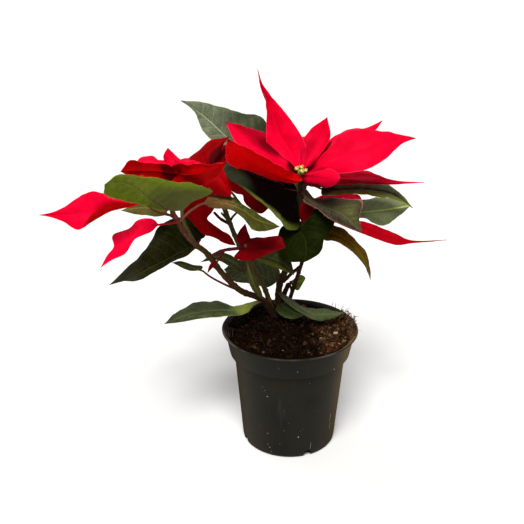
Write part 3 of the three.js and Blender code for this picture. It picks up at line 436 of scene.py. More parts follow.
LONG_BRACTS = {
    "bract_long_right": {
        "stalk": [[6, 0, 232], [22, 4, 218]],
        "rib": [[35, 2, 206], [58, 0, 202], [79, -2, 194], [99, -4, 190], [129, -8, 193]],
        "left": [[48, 4, 207], [61, 4, 205], [79, 2, 199], [89, 0, 195], [100, -3, 191]],
        "right": [[45, -1, 202], [57, -4, 198], [71, -6, 193], [88, -7, 188], [99, -6, 189]],
    },
    "bract_long_left": {
        "stalk": [[-95, -34, 223], [-105, -43, 229]],
        "rib": [[-114, -56, 240], [-126, -66, 243], [-139, -74, 244], [-152, -82, 242], [-168, -88, 242],
            [-182, -94, 244]],
        "left": [[-124, -68, 241], [-135, -78, 241], [-147, -86, 236], [-157, -89, 231], [-166, -92, 238],
            [-173, -94, 242]],
        "right": [[-123, -60, 244], [-136, -63, 248], [-146, -67, 253], [-155, -75, 253], [-164, -83, 248],
            [-173, -90, 245]],
        "dark": [(0.28, 0.5, 0.26, 0.95, 1), (0.46, 0.85, 0.15, 0.5, 1)],
    },
    "bract_small_left": {
        "stalk": [[-91, -31, 217], [-96, -37, 218]],
        "rib": [[-105, -44, 219], [-114, -52, 220], [-125, -58, 214], [-134, -62, 207], [-148, -66, 192]],
        "left": [[-111, -50, 215], [-122, -58, 212], [-129, -62, 202], [-139, -65, 198]],
        "right": [[-109, -42, 223], [-119, -46, 224], [-128, -50, 218], [-139, -54, 214], [-138, -60, 207],
            [-143, -64, 201]],
    },
    "bract_under_right": {
        "stalk": [[6, 1, 222]],
        "rib": [[12, 5, 222], [28, 12, 224], [46, 18, 221], [61, 22, 218]],
        "left": [[33, 14, 227], [46, 18, 225], [58, 21, 223]],
        "right": [[28, 10, 222], [46, 15, 218]],
    },
    "bract_hanging": {
        "stalk": [[6, 0, 228]],
        "rib": [[11, -4, 226], [12, -5, 217], [9, -7, 207]],
        "left": [[17, -4, 223], [19, -5, 217], [15, -5, 211]],
        "right": [[7, -7, 223], [6, -8, 214]],
    },
    "bract_spike": {
        "stalk": [[-55, -26, 191]],
        "rib": [[-61, -23, 180], [-66, -20, 175], [-70, -17, 167]],
        "face": [0, -1, 0.4], "half": 1.3,
    },
}


# ---------- Curves, meshes and joining ----------
SPAN_STEPS = 24  # points on each span of a curve
TANGENT_STEP = 0.004  # how far a curve looks each way for its direction, as a share
END_STEP, END_RING, END_TIP = 0.5, 0.6, 0.7  # a tube's rounded end, as shares of its radius


class Curve:
    """A centripetal Catmull-Rom curve, read by its share of the arc length."""

    def __init__(self, points):
        p = np.array(points, float)
        ends = np.vstack([2 * p[0] - p[1], p, 2 * p[-1] - p[-2]])
        u = np.linspace(0, 1, SPAN_STEPS, endpoint=False)[:, None]
        spans = []
        for a, b, c, d in zip(ends, ends[1:], ends[2:], ends[3:]):
            t0, t1, t2 = (np.linalg.norm(q - r) ** 0.5 for q, r in ((b, a), (c, b), (d, c)))
            m1 = ((b - a) / t0 - (c - a) / (t0 + t1) + (c - b) / t1) * t1
            m2 = ((c - b) / t1 - (d - b) / (t1 + t2) + (d - c) / t2) * t1
            spans.append(b + m1 * u + (3 * (c - b) - 2 * m1 - m2) * u**2 + (2 * (b - c) + m1 + m2) * u**3)
        self.points = np.vstack([*spans, p[-1:]])
        steps = np.linalg.norm(np.diff(self.points, axis=0), axis=1)
        self.reach = np.concatenate([[0], np.cumsum(steps)])
        self.length = self.reach[-1]

    def at(self, share):
        x = np.asarray(share) * self.length
        return np.stack([np.interp(x, self.reach, self.points[:, k]) for k in range(3)], axis=-1)

    def along(self, share):
        share = np.asarray(share)
        ahead, behind = np.minimum(share + TANGENT_STEP, 1), np.maximum(share - TANGENT_STEP, 0)
        return unit(self.at(ahead) - self.at(behind))


def unit(v):
    return v / np.maximum(np.linalg.norm(v, axis=-1, keepdims=True), 1e-9)


def lerp(a, b, t):
    return a + (b - a) * t


def smoothstep(low, high, x):
    t = np.clip((x - low) / (high - low), 0, 1)
    return t * t * (3 - 2 * t)


def polar(radius, turn):
    return math.cos(turn) * radius, math.sin(turn) * radius


def add_object(name, data):
    """An object of this data, linked to the scene."""
    made = bpy.data.objects.new(name, data)
    bpy.context.scene.collection.objects.link(made)
    return made


class Parts:
    """Points, faces and per-point vectors of several closed shells, joined in one mesh."""

    def __init__(self):
        self.points, self.faces, self.layers, self.count = [], [], {}, 0

    def add(self, points, faces, **layers):
        self.points.append(np.asarray(points, float))
        self.faces.extend([[i + self.count for i in face] for face in faces])
        for key, values in layers.items():
            values = np.broadcast_to(np.asarray(values, float), (len(points), 3))
            self.layers.setdefault(key, []).append(values)
        self.count += len(points)

    def build(self, name, nodes, material):
        mesh = bpy.data.meshes.new(name)
        mesh.from_pydata((np.vstack(self.points) * MM).tolist(), [], self.faces)
        for key, values in self.layers.items():
            layer = mesh.attributes.new(key, "FLOAT_VECTOR", "POINT")
            layer.data.foreach_set("vector", np.vstack(values).ravel())
        mesh.shade_smooth()
        mesh.materials.append(material)
        piece = add_object(name, mesh)
        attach(piece, "root")
        if nodes:
            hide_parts(*nodes)


def ring_faces(bands, sides):
    """The faces between rings of points, each ring closed on itself."""
    faces = []
    for i in range(bands):
        for j in range(sides):
            a, b = i * sides + j, i * sides + (j + 1) % sides
            faces.append([a, b, b + sides, a + sides])
    return faces


def tube(path, radii, sides):
    """A closed tube through the points, with rounded ends."""
    path = np.asarray(path, float)
    radii = np.broadcast_to(np.asarray(radii, float), (len(path),))
    tangents = unit(np.gradient(path, axis=0))
    normal = np.cross(tangents[0], [0.31, 0.57, 0.76])  # any direction that no tube runs along
    turns = np.linspace(0, 2 * math.pi, sides, endpoint=False)
    rings = []
    for k, (at, ahead, radius) in enumerate(zip(path, tangents, radii)):
        normal = unit(normal - ahead * np.dot(normal, ahead))
        ring = np.cos(turns)[:, None] * normal + np.sin(turns)[:, None] * np.cross(ahead, normal)
        if k == 0:
            rings.append(at - ahead * radius * END_STEP + ring * radius * END_RING)
        rings.append(at + ring * radius)
        if k == len(path) - 1:
            rings.append(at + ahead * radius * END_STEP + ring * radius * END_RING)
    tips = [path[0] - tangents[0] * radii[0] * END_TIP, path[-1] + tangents[-1] * radii[-1] * END_TIP]
    last = len(rings) - 1
    faces = ring_faces(last, sides)
    foot, top = (last + 1) * sides, (last + 1) * sides + 1
    for j in range(sides):
        faces.append([foot, (j + 1) % sides, j])
        faces.append([top, last * sides + j, last * sides + (j + 1) % sides])
    return np.vstack([*rings, *tips]), faces


def ball(centre, radius, level, lump=0.0, stretch=(1, 1, 1), seed=0.0):
    """A closed ball, stretched and made lumpy by noise."""
    made = bmesh.new()
    bmesh.ops.create_icosphere(made, subdivisions=level, radius=1)
    points = []
    for vertex in made.verts:
        rough = 1 + lump * noise.noise(vertex.co * 1.7 + Vector((seed, seed * 0.7, -seed)))
        points.append([centre[k] + vertex.co[k] * radius * rough * stretch[k] for k in range(3)])
    faces = [[vertex.index for vertex in face.verts] for face in made.faces]
    made.free()
    return points, faces


# ---------- Blades ----------
BLADE = {
    "thick": 0.5,
    "rim": 0.4,  # thickness at the rim, as a share
    "rim_power": 8,  # how late the blade thins towards its rim
    "base_half": 0.8,
    "tip_half": 0.14,
    "puff": 1.5,  # how far each half bulges at most, and as a share of the blade's width
    "puff_share": 0.06,
    "lift": 0.12,  # these three are for a blade without edges
    "widest": 0.4,
    "taper": 1.2,
    "ends": 0.06,  # nearer its ends than this, a blade's outward directions stay the same
    "row": 1.15,  # distance between rows of points, and the least and most rows
    "rows": (24, 120),
    "column": 1.25,  # the same for the columns of each half
    "columns": (5, 26),
    "inner": 0.985,  # place of the columns next to the rims
    "smoothing": 3,
}
VEIN = {
    "share": 0.105,  # distance between side veins, as a share of the blade's length
    "least": 5.0,
    "most": 11.0,
    "slant": 0.62,  # how far a side vein runs on for each millimetre outwards
    "bend": 0.012,
    "across": 0.85,  # distance across a slanting vein for each millimetre along the blade
    "width": 0.6,
    "groove": 0.16,
    "quilt": 0.42,
    "quilt_reach": 0.3,
    "clear": 2.5,  # from here outwards the quilting is full
    "fade": (1.0, 0.8),  # where the relief starts and is full, from the rim inwards
    "full_half": 6,  # half width from which the relief is full
    "rib_groove": 0.4,
    "rib_width": 0.8,
    "rib_fade": 0.7,
}
RIPPLE = {
    "height": 0.6,
    "waves": (19.0, 9.5),
    "edge_power": 2.4,
    "full_half": 9,
    "drift": 0.8,  # how much, and over what length, the waves stray from an even beat
    "drift_length": 13,
    "tooth": 0.10,
    "teeth": (6.1, 3.7),
    "tooth_drift": 7,
}
CRINKLED = {"rough": 0.5, "ripple": 1.5}
SMOOTH = {"rough": 0.3, "ripple": 0.6}  # relief and ripple of a bract, as shares of a leaf's
STALK = {
    "foot": 1.1,
    "top": 0.8,
    "sides": 12,
    "step": 2,
    "rib_end": 0.22,
    "rib_span": (0.03, 0.9),  # the part of the blade's length that the midrib runs along
    "rib_step": 2.5,
    "rib_power": 0.7,
    "rib_bare": 0.8,  # a bract's midrib, as a share of a stalked one
    "sunk": 0.45,
}
SPOT_EDGE = (1.25, 0.55)  # where a spot fades out and is full, as shares of its reach


def blade_edges(spec, rib, s):
    """The two edges of a blade at the shares s of its length, right then left."""
    middle, along = rib.at(s), rib.along(s)
    least = lerp(BLADE["base_half"], BLADE["tip_half"], s)[:, None]
    edges = []
    if "left" in spec:
        inner = np.clip(s, BLADE["ends"], 1 - BLADE["ends"])
        for side in ("right", "left"):
            curve = Curve([spec["rib"][0], *spec[side], spec["rib"][-1]])
            away = curve.at(inner) - rib.at(inner)
            away = unit(away - along * np.sum(away * along, axis=1, keepdims=True))
            edge = curve.at(s)
            short = np.linalg.norm(edge - middle, axis=1, keepdims=True) < least
            edges.append(np.where(short, middle + away * least, edge))
        return middle, along, edges
    face = np.array(spec["face"], float)
    up = unit(face - along * np.sum(along * face, axis=1, keepdims=True))
    out = np.cross(up, along)
    rise = BLADE["taper"] * BLADE["widest"] / (1 - BLADE["widest"])
    shape = s**rise * (1 - s) ** BLADE["taper"]
    peak = BLADE["widest"] ** rise * (1 - BLADE["widest"]) ** BLADE["taper"]
    half = least + spec["half"] * (shape / peak)[:, None]
    lift = up * half * BLADE["lift"]
    return middle, along, [middle - out * half + lift, middle + out * half + lift]


def soften(v, width):
    """Values smoothed along the first axis."""
    padded = np.concatenate([np.repeat(v[:1], width, 0), v, np.repeat(v[-1:], width, 0)])
    weights = np.hanning(2 * width + 3)[1:-1]
    weights /= weights.sum()
    return np.stack([np.convolve(padded[:, k], weights, "valid") for k in range(v.shape[1])], -1)


def blade_sheet(spec, rib):
    """A blade's middle surface without relief: the shares along and across it, its midrib, the upward
    directions along that, its half widths, and its grid of points."""
    rows = int(np.clip(rib.length / BLADE["row"], *BLADE["rows"]))
    s = np.linspace(0, 1, rows + 1)
    middle, along, (right, left) = blade_edges(spec, rib, s)
    halves = [np.linalg.norm(edge - middle, axis=1) for edge in (right, left)]
    width = max(h.max() for h in halves)
    columns = 2 * int(np.clip(width / BLADE["column"], *BLADE["columns"]))
    t = np.concatenate([[-1], np.linspace(-1, 1, columns - 1) * BLADE["inner"], [1]])
    u = np.abs(t)
    up = soften(unit(np.cross(along, left - right)), BLADE["smoothing"])
    puff = np.minimum(BLADE["puff"], np.linalg.norm(left - right, axis=1) * BLADE["puff_share"])
    edge = np.where(t[None, :, None] < 0, right[:, None], left[:, None])
    half = np.where(t[None, :] < 0, halves[0][:, None], halves[1][:, None])
    grid = lerp(middle[:, None], edge, u[None, :, None])
    grid = grid + up[:, None] * (puff[:, None] * np.sin(np.pi * u)[None, :])[..., None]
    return s, t, middle, up, half, grid


def vein_relief(x, y, u, half, length, shift):
    """How far the veins raise or sink a blade, and how many side veins each point has passed."""
    spacing = float(np.clip(length * VEIN["share"], VEIN["least"], VEIN["most"]))
    away = np.abs(y)
    stagger = 0.5 * smoothstep(-0.3, 0.3, y)
    phase = (x - VEIN["slant"] * away - VEIN["bend"] * away**2) / spacing + stagger + shift
    beside = np.abs(phase - np.round(phase)) * spacing * VEIN["across"]
    inside = smoothstep(*VEIN["fade"], u)[None, :] * np.minimum(1, half / VEIN["full_half"])
    groove = np.exp(-((beside / VEIN["width"]) ** 2)) * inside
    quilt = (1 - np.exp(-((beside / (spacing * VEIN["quilt_reach"])) ** 2))) * inside
    quilt = quilt * smoothstep(0, VEIN["clear"], away)
    mid = np.exp(-((away / VEIN["rib_width"]) ** 2)) * (1 - VEIN["rib_fade"] * x / length)
    return VEIN["quilt"] * quilt - VEIN["groove"] * groove - VEIN["rib_groove"] * mid, phase


def shell_faces(rows, columns):
    """The faces of a thin closed shell: its upper grid, the grid under it, and the rim between."""
    ground = (rows + 1) * columns
    faces = []
    for i in range(rows):
        for j in range(columns - 1):
            a, b = i * columns + j, (i + 1) * columns + j
            faces.append([a, b, b + 1, a + 1])
            faces.append([a + ground, a + 1 + ground, b + 1 + ground, b + ground])
    rim = list(range(columns)) + [i * columns + columns - 1 for i in range(1, rows + 1)]
    rim += [rows * columns + j for j in range(columns - 2, -1, -1)]
    rim += [i * columns for i in range(rows - 1, 0, -1)]
    for a, b in zip(rim, rim[1:] + rim[:1]):
        faces.append([a, b, b + ground, a + ground])
    return faces


def add_blade(parts, spec, seed, stalk=None, rough=1.0, ripple=1.0):
    """A blade as a thin closed shell with sunken veins, a rippled margin and a raised midrib below."""
    draw = random.Random(seed)
    phases = [draw.uniform(0, 2 * math.pi) for _ in range(8)]
    rib = Curve(spec["rib"])
    s, t, middle, up, half, grid = blade_sheet(spec, rib)
    u = np.abs(t)
    x = (s * rib.length)[:, None] + 0 * t[None, :]
    y = half * t[None, :]
    normal = unit(np.cross(np.gradient(grid, axis=0), np.gradient(grid, axis=1)))

    relief, phase = vein_relief(x, y, u, half, rib.length, phases[0])
    relief = rough * relief
    reach = np.minimum(1, half / RIPPLE["full_half"]) * u[None, :] ** RIPPLE["edge_power"] * ripple
    drift = RIPPLE["drift"] * np.sin(x / RIPPLE["drift_length"] + phases[5])
    for side, first in ((t < 0, 1), (t >= 0, 3)):
        for k, wave in enumerate(RIPPLE["waves"]):
            wobble = np.sin(2 * np.pi * x / wave + phases[first + k] + drift)
            relief = relief + side[None, :] * reach * wobble * RIPPLE["height"] / (k + 1)
    grid = grid + normal * relief[..., None]
    outward = unit(grid - middle[:, None])
    drift = np.sin(x / RIPPLE["tooth_drift"])
    for k, wave in enumerate(RIPPLE["teeth"]):
        tooth = np.sin(2 * np.pi * x / wave + phases[6 + k] + drift) * RIPPLE["tooth"] / (k + 1)
        grid = grid + outward * (reach * tooth)[..., None]

    thin = lerp(1, BLADE["rim"], u ** BLADE["rim_power"])[None, :]
    thick = normal * (BLADE["thick"] * thin / 2)[..., None]
    share = np.broadcast_to(s[:, None], y.shape)
    across = np.broadcast_to(t[None, :], y.shape)
    # The two marks: painted shade, then patch, painted light.
    dark, patch = (marked(spec.get(key, []), share, across) for key in ("dark", "patch"))
    marks = np.stack([dark, patch, 0 * patch], -1).reshape(-1, 3)
    place = np.stack([x, y, phase], -1).reshape(-1, 3)
    where = [np.stack([share, across, np.full_like(y, side)], -1).reshape(-1, 3) for side in (1, 0)]
    parts.add(
        np.vstack([(grid + thick).reshape(-1, 3), (grid - thick).reshape(-1, 3)]),
        shell_faces(len(s) - 1, len(t)),
        blade=np.vstack(where),
        place=np.vstack([place, place]),
        marks=np.vstack([marks, marks]),
    )
    add_midrib(parts, rib, up, s, dark[:, len(t) // 2], stalk)


def marked(spots, s, t):
    """How strongly soft oval spots of painted shade, and those of painted light, mark a blade. A spot
    is its place along and across the blade, its reach in each direction, and its strength."""
    total = 0 * s
    for along, across, long, wide, strength in spots:
        away = np.sqrt(((s - along) / long) ** 2 + ((t - across) / wide) ** 2)
        total = total + strength * smoothstep(*SPOT_EDGE, away)
    return np.clip(total, 0, 1)


def add_midrib(parts, rib, up, s, dark, stalk):
    """The stalk, run on under the blade as its midrib."""
    shares = np.linspace(*STALK["rib_span"], max(8, int(rib.length / STALK["rib_step"])))
    below = np.stack([np.interp(shares, s, up[:, k]) for k in range(3)], -1)
    run = rib.at(shares) - below * STALK["sunk"]
    path, where = run, shares
    radii = lerp(STALK["top"], STALK["rib_end"], shares ** STALK["rib_power"])
    if stalk:
        curve = Curve([*stalk, rib.at(0).tolist(), run[0].tolist()])
        steps = np.linspace(0, 1, max(6, int(curve.length / STALK["step"])))[:-1]
        path = np.vstack([curve.at(steps), run])
        radii = np.concatenate([lerp(STALK["foot"], STALK["top"], steps), radii])
        where = np.concatenate([steps * 0, shares])
    else:
        radii = radii * STALK["rib_bare"]
    points, faces = tube(path, radii, STALK["sides"])
    rings = np.concatenate([[where[0]], where, [where[-1]]]).repeat(STALK["sides"])
    rings = np.concatenate([rings, [where[0], where[-1]]])
    # The painted shade along the blade's middle goes on along its midrib and stalk.
    marks = np.stack([np.interp(rings, s, dark), 0 * rings, 0 * rings], -1)
    blade = np.stack([rings, 0 * rings, 0 * rings + 2], -1)
    parts.add(points, faces, blade=blade, place=(0, 0, 0.5), marks=marks)


# ---------- Materials ----------
def new_material(name):
    material = bpy.data.materials.new(name)
    material.use_nodes = True
    tree = material.node_tree
    tree.nodes.clear()
    return material, tree


def node(tree, kind, inputs=None, **settings):
    """A shader node with its settings, its inputs given as values or as other nodes' sockets."""
    made = tree.nodes.new("ShaderNode" + kind)
    for key, value in settings.items():
        setattr(made, key, value)
    for key, value in (inputs or {}).items():
        if isinstance(value, bpy.types.NodeSocket):
            tree.links.new(value, made.inputs[key])
        else:
            made.inputs[key].default_value = value
    return made


def maths(tree, operation, *values):
    return node(tree, "Math", dict(enumerate(values)), operation=operation).outputs[0]


def times(tree, product, *factors):
    for factor in factors:
        product = maths(tree, "MULTIPLY", product, factor)
    return product


def between(tree, value, low, high, to_low=0.0, to_high=1.0):
    """The value eased from low..high to to_low..to_high."""
    inputs = {"Value": value, "From Min": low, "From Max": high, "To Min": to_low, "To Max": to_high}
    return node(tree, "MapRange", inputs, interpolation_type="SMOOTHSTEP").outputs["Result"]


def mix(tree, share, first, second):
    """A colour between two colours, each a socket or three numbers."""
    made = node(tree, "Mix", data_type="RGBA")
    for key, value in (("Factor", share), ("A", first), ("B", second)):
        socket = [s for s in made.inputs if s.name == key and (s.type == "RGBA") == (key != "Factor")][0]
        if isinstance(value, bpy.types.NodeSocket):
            tree.links.new(value, socket)
        else:
            socket.default_value = value if key == "Factor" else (*value, 1)
    return [s for s in made.outputs if s.type == "RGBA"][0]


def scaled(tree, colour, factor):
    """A colour made lighter or darker by a factor."""
    factors = node(tree, "CombineXYZ", {0: factor, 1: factor, 2: factor}).outputs[0]
    return node(tree, "VectorMath", {0: colour, 1: factors}, operation="MULTIPLY").outputs[0]


def mesh_vector(tree, name):
    """A vector stored for each point of the mesh."""
    return node(tree, "Attribute", attribute_name=name).outputs["Vector"]


def split(tree, vector):
    return node(tree, "SeparateXYZ", {0: vector}).outputs


def object_place(tree):
    return node(tree, "TexCoord").outputs["Object"]


def pattern(tree, scale, detail=3.0, roughness=0.55, vector=None):
    """Noise over the object's own coordinates, in waves per metre."""
    where = vector or object_place(tree)
    inputs = {"Vector": where, "Scale": scale, "Detail": detail, "Roughness": roughness}
    return node(tree, "TexNoise", inputs).outputs["Fac"]


def bump(tree, height, strength, distance):
    inputs = {"Height": height, "Strength": strength, "Distance": distance}
    return node(tree, "Bump", inputs).outputs["Normal"]


def blend(tree, share, first, second):
    """The output of a mix of two shader nodes."""
    return node(tree, "MixShader", {0: share, 1: first.outputs[0], 2: second.outputs[0]}).outputs[0]


def finish_material(tree, surface):
    node(tree, "OutputMaterial", {"Surface": surface})


def shade(colour, by):
    return tuple(c * by for c in colour)


def bract_look(upper, under, **changes):
    """A bract's colours, worked out from those of its two sides."""
    look = {
        "upper": upper,
        "upper_deep": shade(upper, 0.76),
        "under": under,
        "under_deep": shade(under, 0.78),
        "margin": upper,
        "vein": shade(upper, 0.80),
        "under_vein": shade(under, 0.82),
        "mid": shade(upper, 0.82),
        "tip": shade(upper, 0.90),
        "point": (0.07, 0.003, 0.012),
        "stalk": (0.3, 0.012, 0.016),
        "rib": shade(under, 0.85),
        # The colour of the painted shade marks.
        "dark": (0.045, 0.0002, 0.0012),
        # patch: painted light, a paler pink for highlight lines.
        "patch": (0.93, 0.02, 0.085),
        "through": (0.62, 0.0001, 0.0008),
        "glow": 0.32,
        "gloss": 0.03,
        "roughness": 0.5,
        "net": 0.16,
        "mottle": 0.94,
        "rim": 0.07,
        "sheen": (1.0, 0.55, 0.7),
    }
    return {**look, **changes}


def leaf_look(upper, under=None, veins=None, ribs=None, **changes):
    """A green leaf's colours, worked out from those of its upper side and, where that differs, of its
    underside. veins and ribs, where given, colour the veins and the midrib on both sides."""
    under = under or upper
    look = {
        "upper": upper,
        "upper_deep": shade(upper, 0.62),
        "under": under,
        "under_deep": shade(under, 0.66),
        "margin": shade(upper, 1.5),
        "vein": veins or shade(upper, 1.7),
        "under_vein": veins or shade(under, 1.35),
        "mid": ribs or shade(upper, 2.0),
        "tip": upper,
        "point": shade(upper, 0.6),
        "stalk": (0.055, 0.01, 0.009),
        "rib": ribs or shade(under, 1.5),
        # The colour of the painted shade marks, a near-black copy of the upper side.
        "dark": shade(upper, 0.1),
        # patch: painted light, a lighter copy of the upper side.
        "patch": shade(upper, 1.8),
        "through": (0.08, 0.13, 0.008),
        "glow": 0.12,
        "gloss": 0.12,
        "roughness": 0.42,
        "net": 0.4,
        "mottle": 0.80,
        "rim": 0.08,
        "sheen": (1.0, 0.97, 0.55),
    }
    return {**look, **changes}


# The bracts' red, and a darker copy of it for undersides: painted shade.
BRIGHT, UNDERSIDE_IN_PAINTED_SHADE = (0.9, 0.0004, 0.034), (0.56, 0.0003, 0.0016)
# A darker copy of the bract look for bracts that hang in shade: painted shade.
BRACT_IN_PAINTED_SHADE = bract_look((0.125, 0.0003, 0.0012), (0.11, 0.0002, 0.001), glow=0.12,
    through=(0.3, 0.0001, 0.0004), stalk=(0.05, 0.006, 0.006), rib=(0.08, 0.0006, 0.0012))
LOOKS = {
    "leaf_back_left": leaf_look((0.128, 0.15, 0.092), margin=(0.26, 0.32, 0.07), veins=(0.19, 0.22, 0.13),
        rib=(0.2, 0.235, 0.13), dark=(0.022, 0.03, 0.014), gloss=0.1),
    # Its own colour, nearly black, is painted deep shade under the bract above it; the mark at its tip is a
    # lighter shade, and its patches paint light on the lit strip along its lower edge.
    "leaf_cupped": leaf_look((0.0016, 0.0005, 0.0006), dark=(0.019, 0.023, 0.012),
        patch=(0.085, 0.1, 0.014), margin=(0.004, 0.004, 0.001), rib=(0.0016, 0.001, 0.0006), glow=0.01,
        net=0.15, gloss=0.01),
    "leaf_grey_pink": leaf_look((0.037, 0.031, 0.019), dark=(0.012, 0.006, 0.003),
        patch=(0.056, 0.06, 0.012), margin=(0.34, 0.13, 0.1), rib=(0.07, 0.056, 0.03), gloss=0.07, rim=0.12),
    "leaf_right_upper": leaf_look((0.09, 0.106, 0.056), (0.06, 0.065, 0.012), ribs=(0.012, 0.012, 0.002),
        dark=(0.01, 0.01, 0.001), patch=(0.125, 0.135, 0.014), margin=(0.2, 0.24, 0.05)),
    "leaf_right_rear": leaf_look((0.096, 0.12, 0.048), ribs=(0.5, 0.6, 0.1), dark=(0.03, 0.03, 0.002),
        patch=(0.19, 0.225, 0.11), gloss=0.2),
    "leaf_round_centre": leaf_look((0.005, 0.0078, 0.0006), gloss=0.012, glow=0.03),
    "leaf_hanging_right": leaf_look((0.075, 0.034, 0.002), patch=(0.066, 0.054, 0.004),
        rib=(0.09, 0.05, 0.02), gloss=0.06),
    "leaf_low_centre": leaf_look((0.02, 0.024, 0.004), patch=(0.07, 0.08, 0.008)),
    "leaf_round_rear": leaf_look((0.034, 0.042, 0.014), veins=(0.1, 0.12, 0.06)),
    "leaf_young": leaf_look((0.1, 0.14, 0.015)),
    "leaf_front_left": leaf_look((0.134, 0.176, 0.007), dark=(0.07, 0.062, 0.02), patch=(0.18, 0.26, 0.003),
        rib=(0.13, 0.1, 0.025), stalk=(0.16, 0.035, 0.025), through=(0.2, 0.3, 0.004), glow=0.25),
    "leaf_dark_left": leaf_look((0.009, 0.01, 0.0012), veins=(0.03, 0.034, 0.008),
        ribs=(0.04, 0.044, 0.01), patch=(0.056, 0.056, 0.034), glow=0.04, gloss=0.04),
    "leaf_small_left": leaf_look((0.033, 0.037, 0.008), stalk=(0.085, 0.005, 0.011)),
    "leaf_bottom_left": leaf_look((0.029, 0.039, 0.015), patch=(0.17, 0.21, 0.03), rib=(0.16, 0.19, 0.06),
        stalk=(0.12, 0.1, 0.03), margin=(0.14, 0.17, 0.04)),
    "leaf_over_soil": leaf_look((0.055, 0.066, 0.03), patch=(0.052, 0.076, 0.026),
        rib=(0.075, 0.092, 0.042), mid=(0.08, 0.098, 0.045)),
    "leaf_low_shaded": leaf_look((0.018, 0.028, 0.006), rib=(0.02, 0.03, 0.008)),
    "leaf_olive_middle": leaf_look((0.04, 0.04, 0.005), patch=(0.13, 0.058, 0.018),
        rib=(0.16, 0.085, 0.035), stalk=(0.16, 0.05, 0.03)),
    "leaf_strip": leaf_look((0.065, 0.062, 0.014)),
    "leaf_thin_left": leaf_look((0.03, 0.032, 0.01)),
    "leaf_olive_far": leaf_look((0.075, 0.06, 0.01), rib=(0.1, 0.08, 0.02)),
    "bract_long_right": bract_look((0.4, 0.0003, 0.006), (0.34, 0.0003, 0.003)),
    "bract_long_left": bract_look(BRIGHT, UNDERSIDE_IN_PAINTED_SHADE, dark=(0.26, 0.0002, 0.0004), stalk=(0.085, 0.035, 0.016)),
    "bract_small_left": bract_look(BRIGHT, BRIGHT, glow=0.0),
    "bract_under_right": bract_look(BRIGHT, BRIGHT, glow=0.1),
    "bract_hanging": BRACT_IN_PAINTED_SHADE,
    "bract_spike": BRACT_IN_PAINTED_SHADE,
    # Its margin is a paler pink rim: a painted highlight along the lit edges.
    "bracts_right": bract_look(BRIGHT, (0.85, 0.0003, 0.002), margin=(0.96, 0.04, 0.11), rim=0.05),
    # Its underside is darkened: painted shade.
    "bracts_left": bract_look(BRIGHT, (0.42, 0.0002, 0.001), margin=(0.8, 0.01, 0.03), rim=0.05),
    # The middle bloom is darkened all over: painted shade, as it sits behind a leaf.
    "bracts_middle": bract_look((0.42, 0.0003, 0.002), (0.4, 0.0003, 0.0012)),
    "bracts_low": BRACT_IN_PAINTED_SHADE,
}

# How a blade's pattern is laid out. Pairs are where a feature is nothing and where it is full; four
# numbers also give its strength at each. Lengths are shares of the blade's length or half width,
# except where another unit is named.
SKIN = {
    "upper_side": (0.45, 0.55),  # the stored side: 0 below, 1 above, 2 on the stalk
    "stalk_side": (1.2, 1.6),
    "side_vein": (0.085, 0.0),  # shares of the distance between side veins
    "side_fade": (1.0, 0.75),
    "side_in_all": 0.75,
    "side_colour": 0.6,
    "under_colour": 0.7,
    "midrib": (1.0, 0.35),  # millimetres
    "net": {"Scale": 0.42, "Randomness": 0.9},  # cells per millimetre
    "net_line": (0.11, 0.0),
    "cloud": (75.0, 0.35, 0.65),  # waves per metre, and the noise values that it lies between
    "fine": (900.0, 4.0),  # waves per metre, and detail
    "grain": (0.3, 0.7),
    "tip": (0.80, 1.0, 0.0, 0.8),
    "point": (0.955, 0.995),
    "margin": 0.8,
    "rib_on": (0.0, 0.3),
    "stalk_painted_shade": 0.8,
    "roughness": (-0.05, 0.1),
    "bump": (0.35, 0.0003),
    "vein_shade": 0.5,
}


def blade_colour(tree, look, s, side_vein, midrib, vein, outness, net, cloud, is_upper, marks):
    """The colour of a blade's two sides, with its veins, margin, tip, and its marks of painted shade and
    painted light.
    """
    upper = mix(tree, cloud, look["upper"], look["upper_deep"])
    under = mix(tree, cloud, look["under"], look["under_deep"])
    netted = times(tree, net, look["net"])
    upper = mix(tree, netted, upper, look["vein"])
    under = mix(tree, netted, under, look["under_vein"])
    upper = mix(tree, times(tree, side_vein, SKIN["side_colour"]), upper, look["vein"])
    upper = mix(tree, midrib, upper, look["mid"])
    under = mix(tree, times(tree, vein, SKIN["under_colour"]), under, look["under_vein"])
    upper = mix(tree, between(tree, s, *SKIN["tip"]), upper, look["tip"])
    colour = mix(tree, is_upper, under, upper)
    rim = between(tree, outness, 1.0 - look["rim"], 1.0, 0.0, SKIN["margin"])
    colour = mix(tree, rim, colour, look["margin"])
    colour = mix(tree, between(tree, s, *SKIN["point"]), colour, look["point"])
    # patch paints light over the colour, the midrib keeps its colour there, and painted shade goes over all.
    dark, patch = marks[0], marks[1]
    colour = mix(tree, patch, colour, look["patch"])
    colour = mix(tree, times(tree, midrib, is_upper, patch), colour, look["mid"])
    return mix(tree, dark, colour, look["dark"])


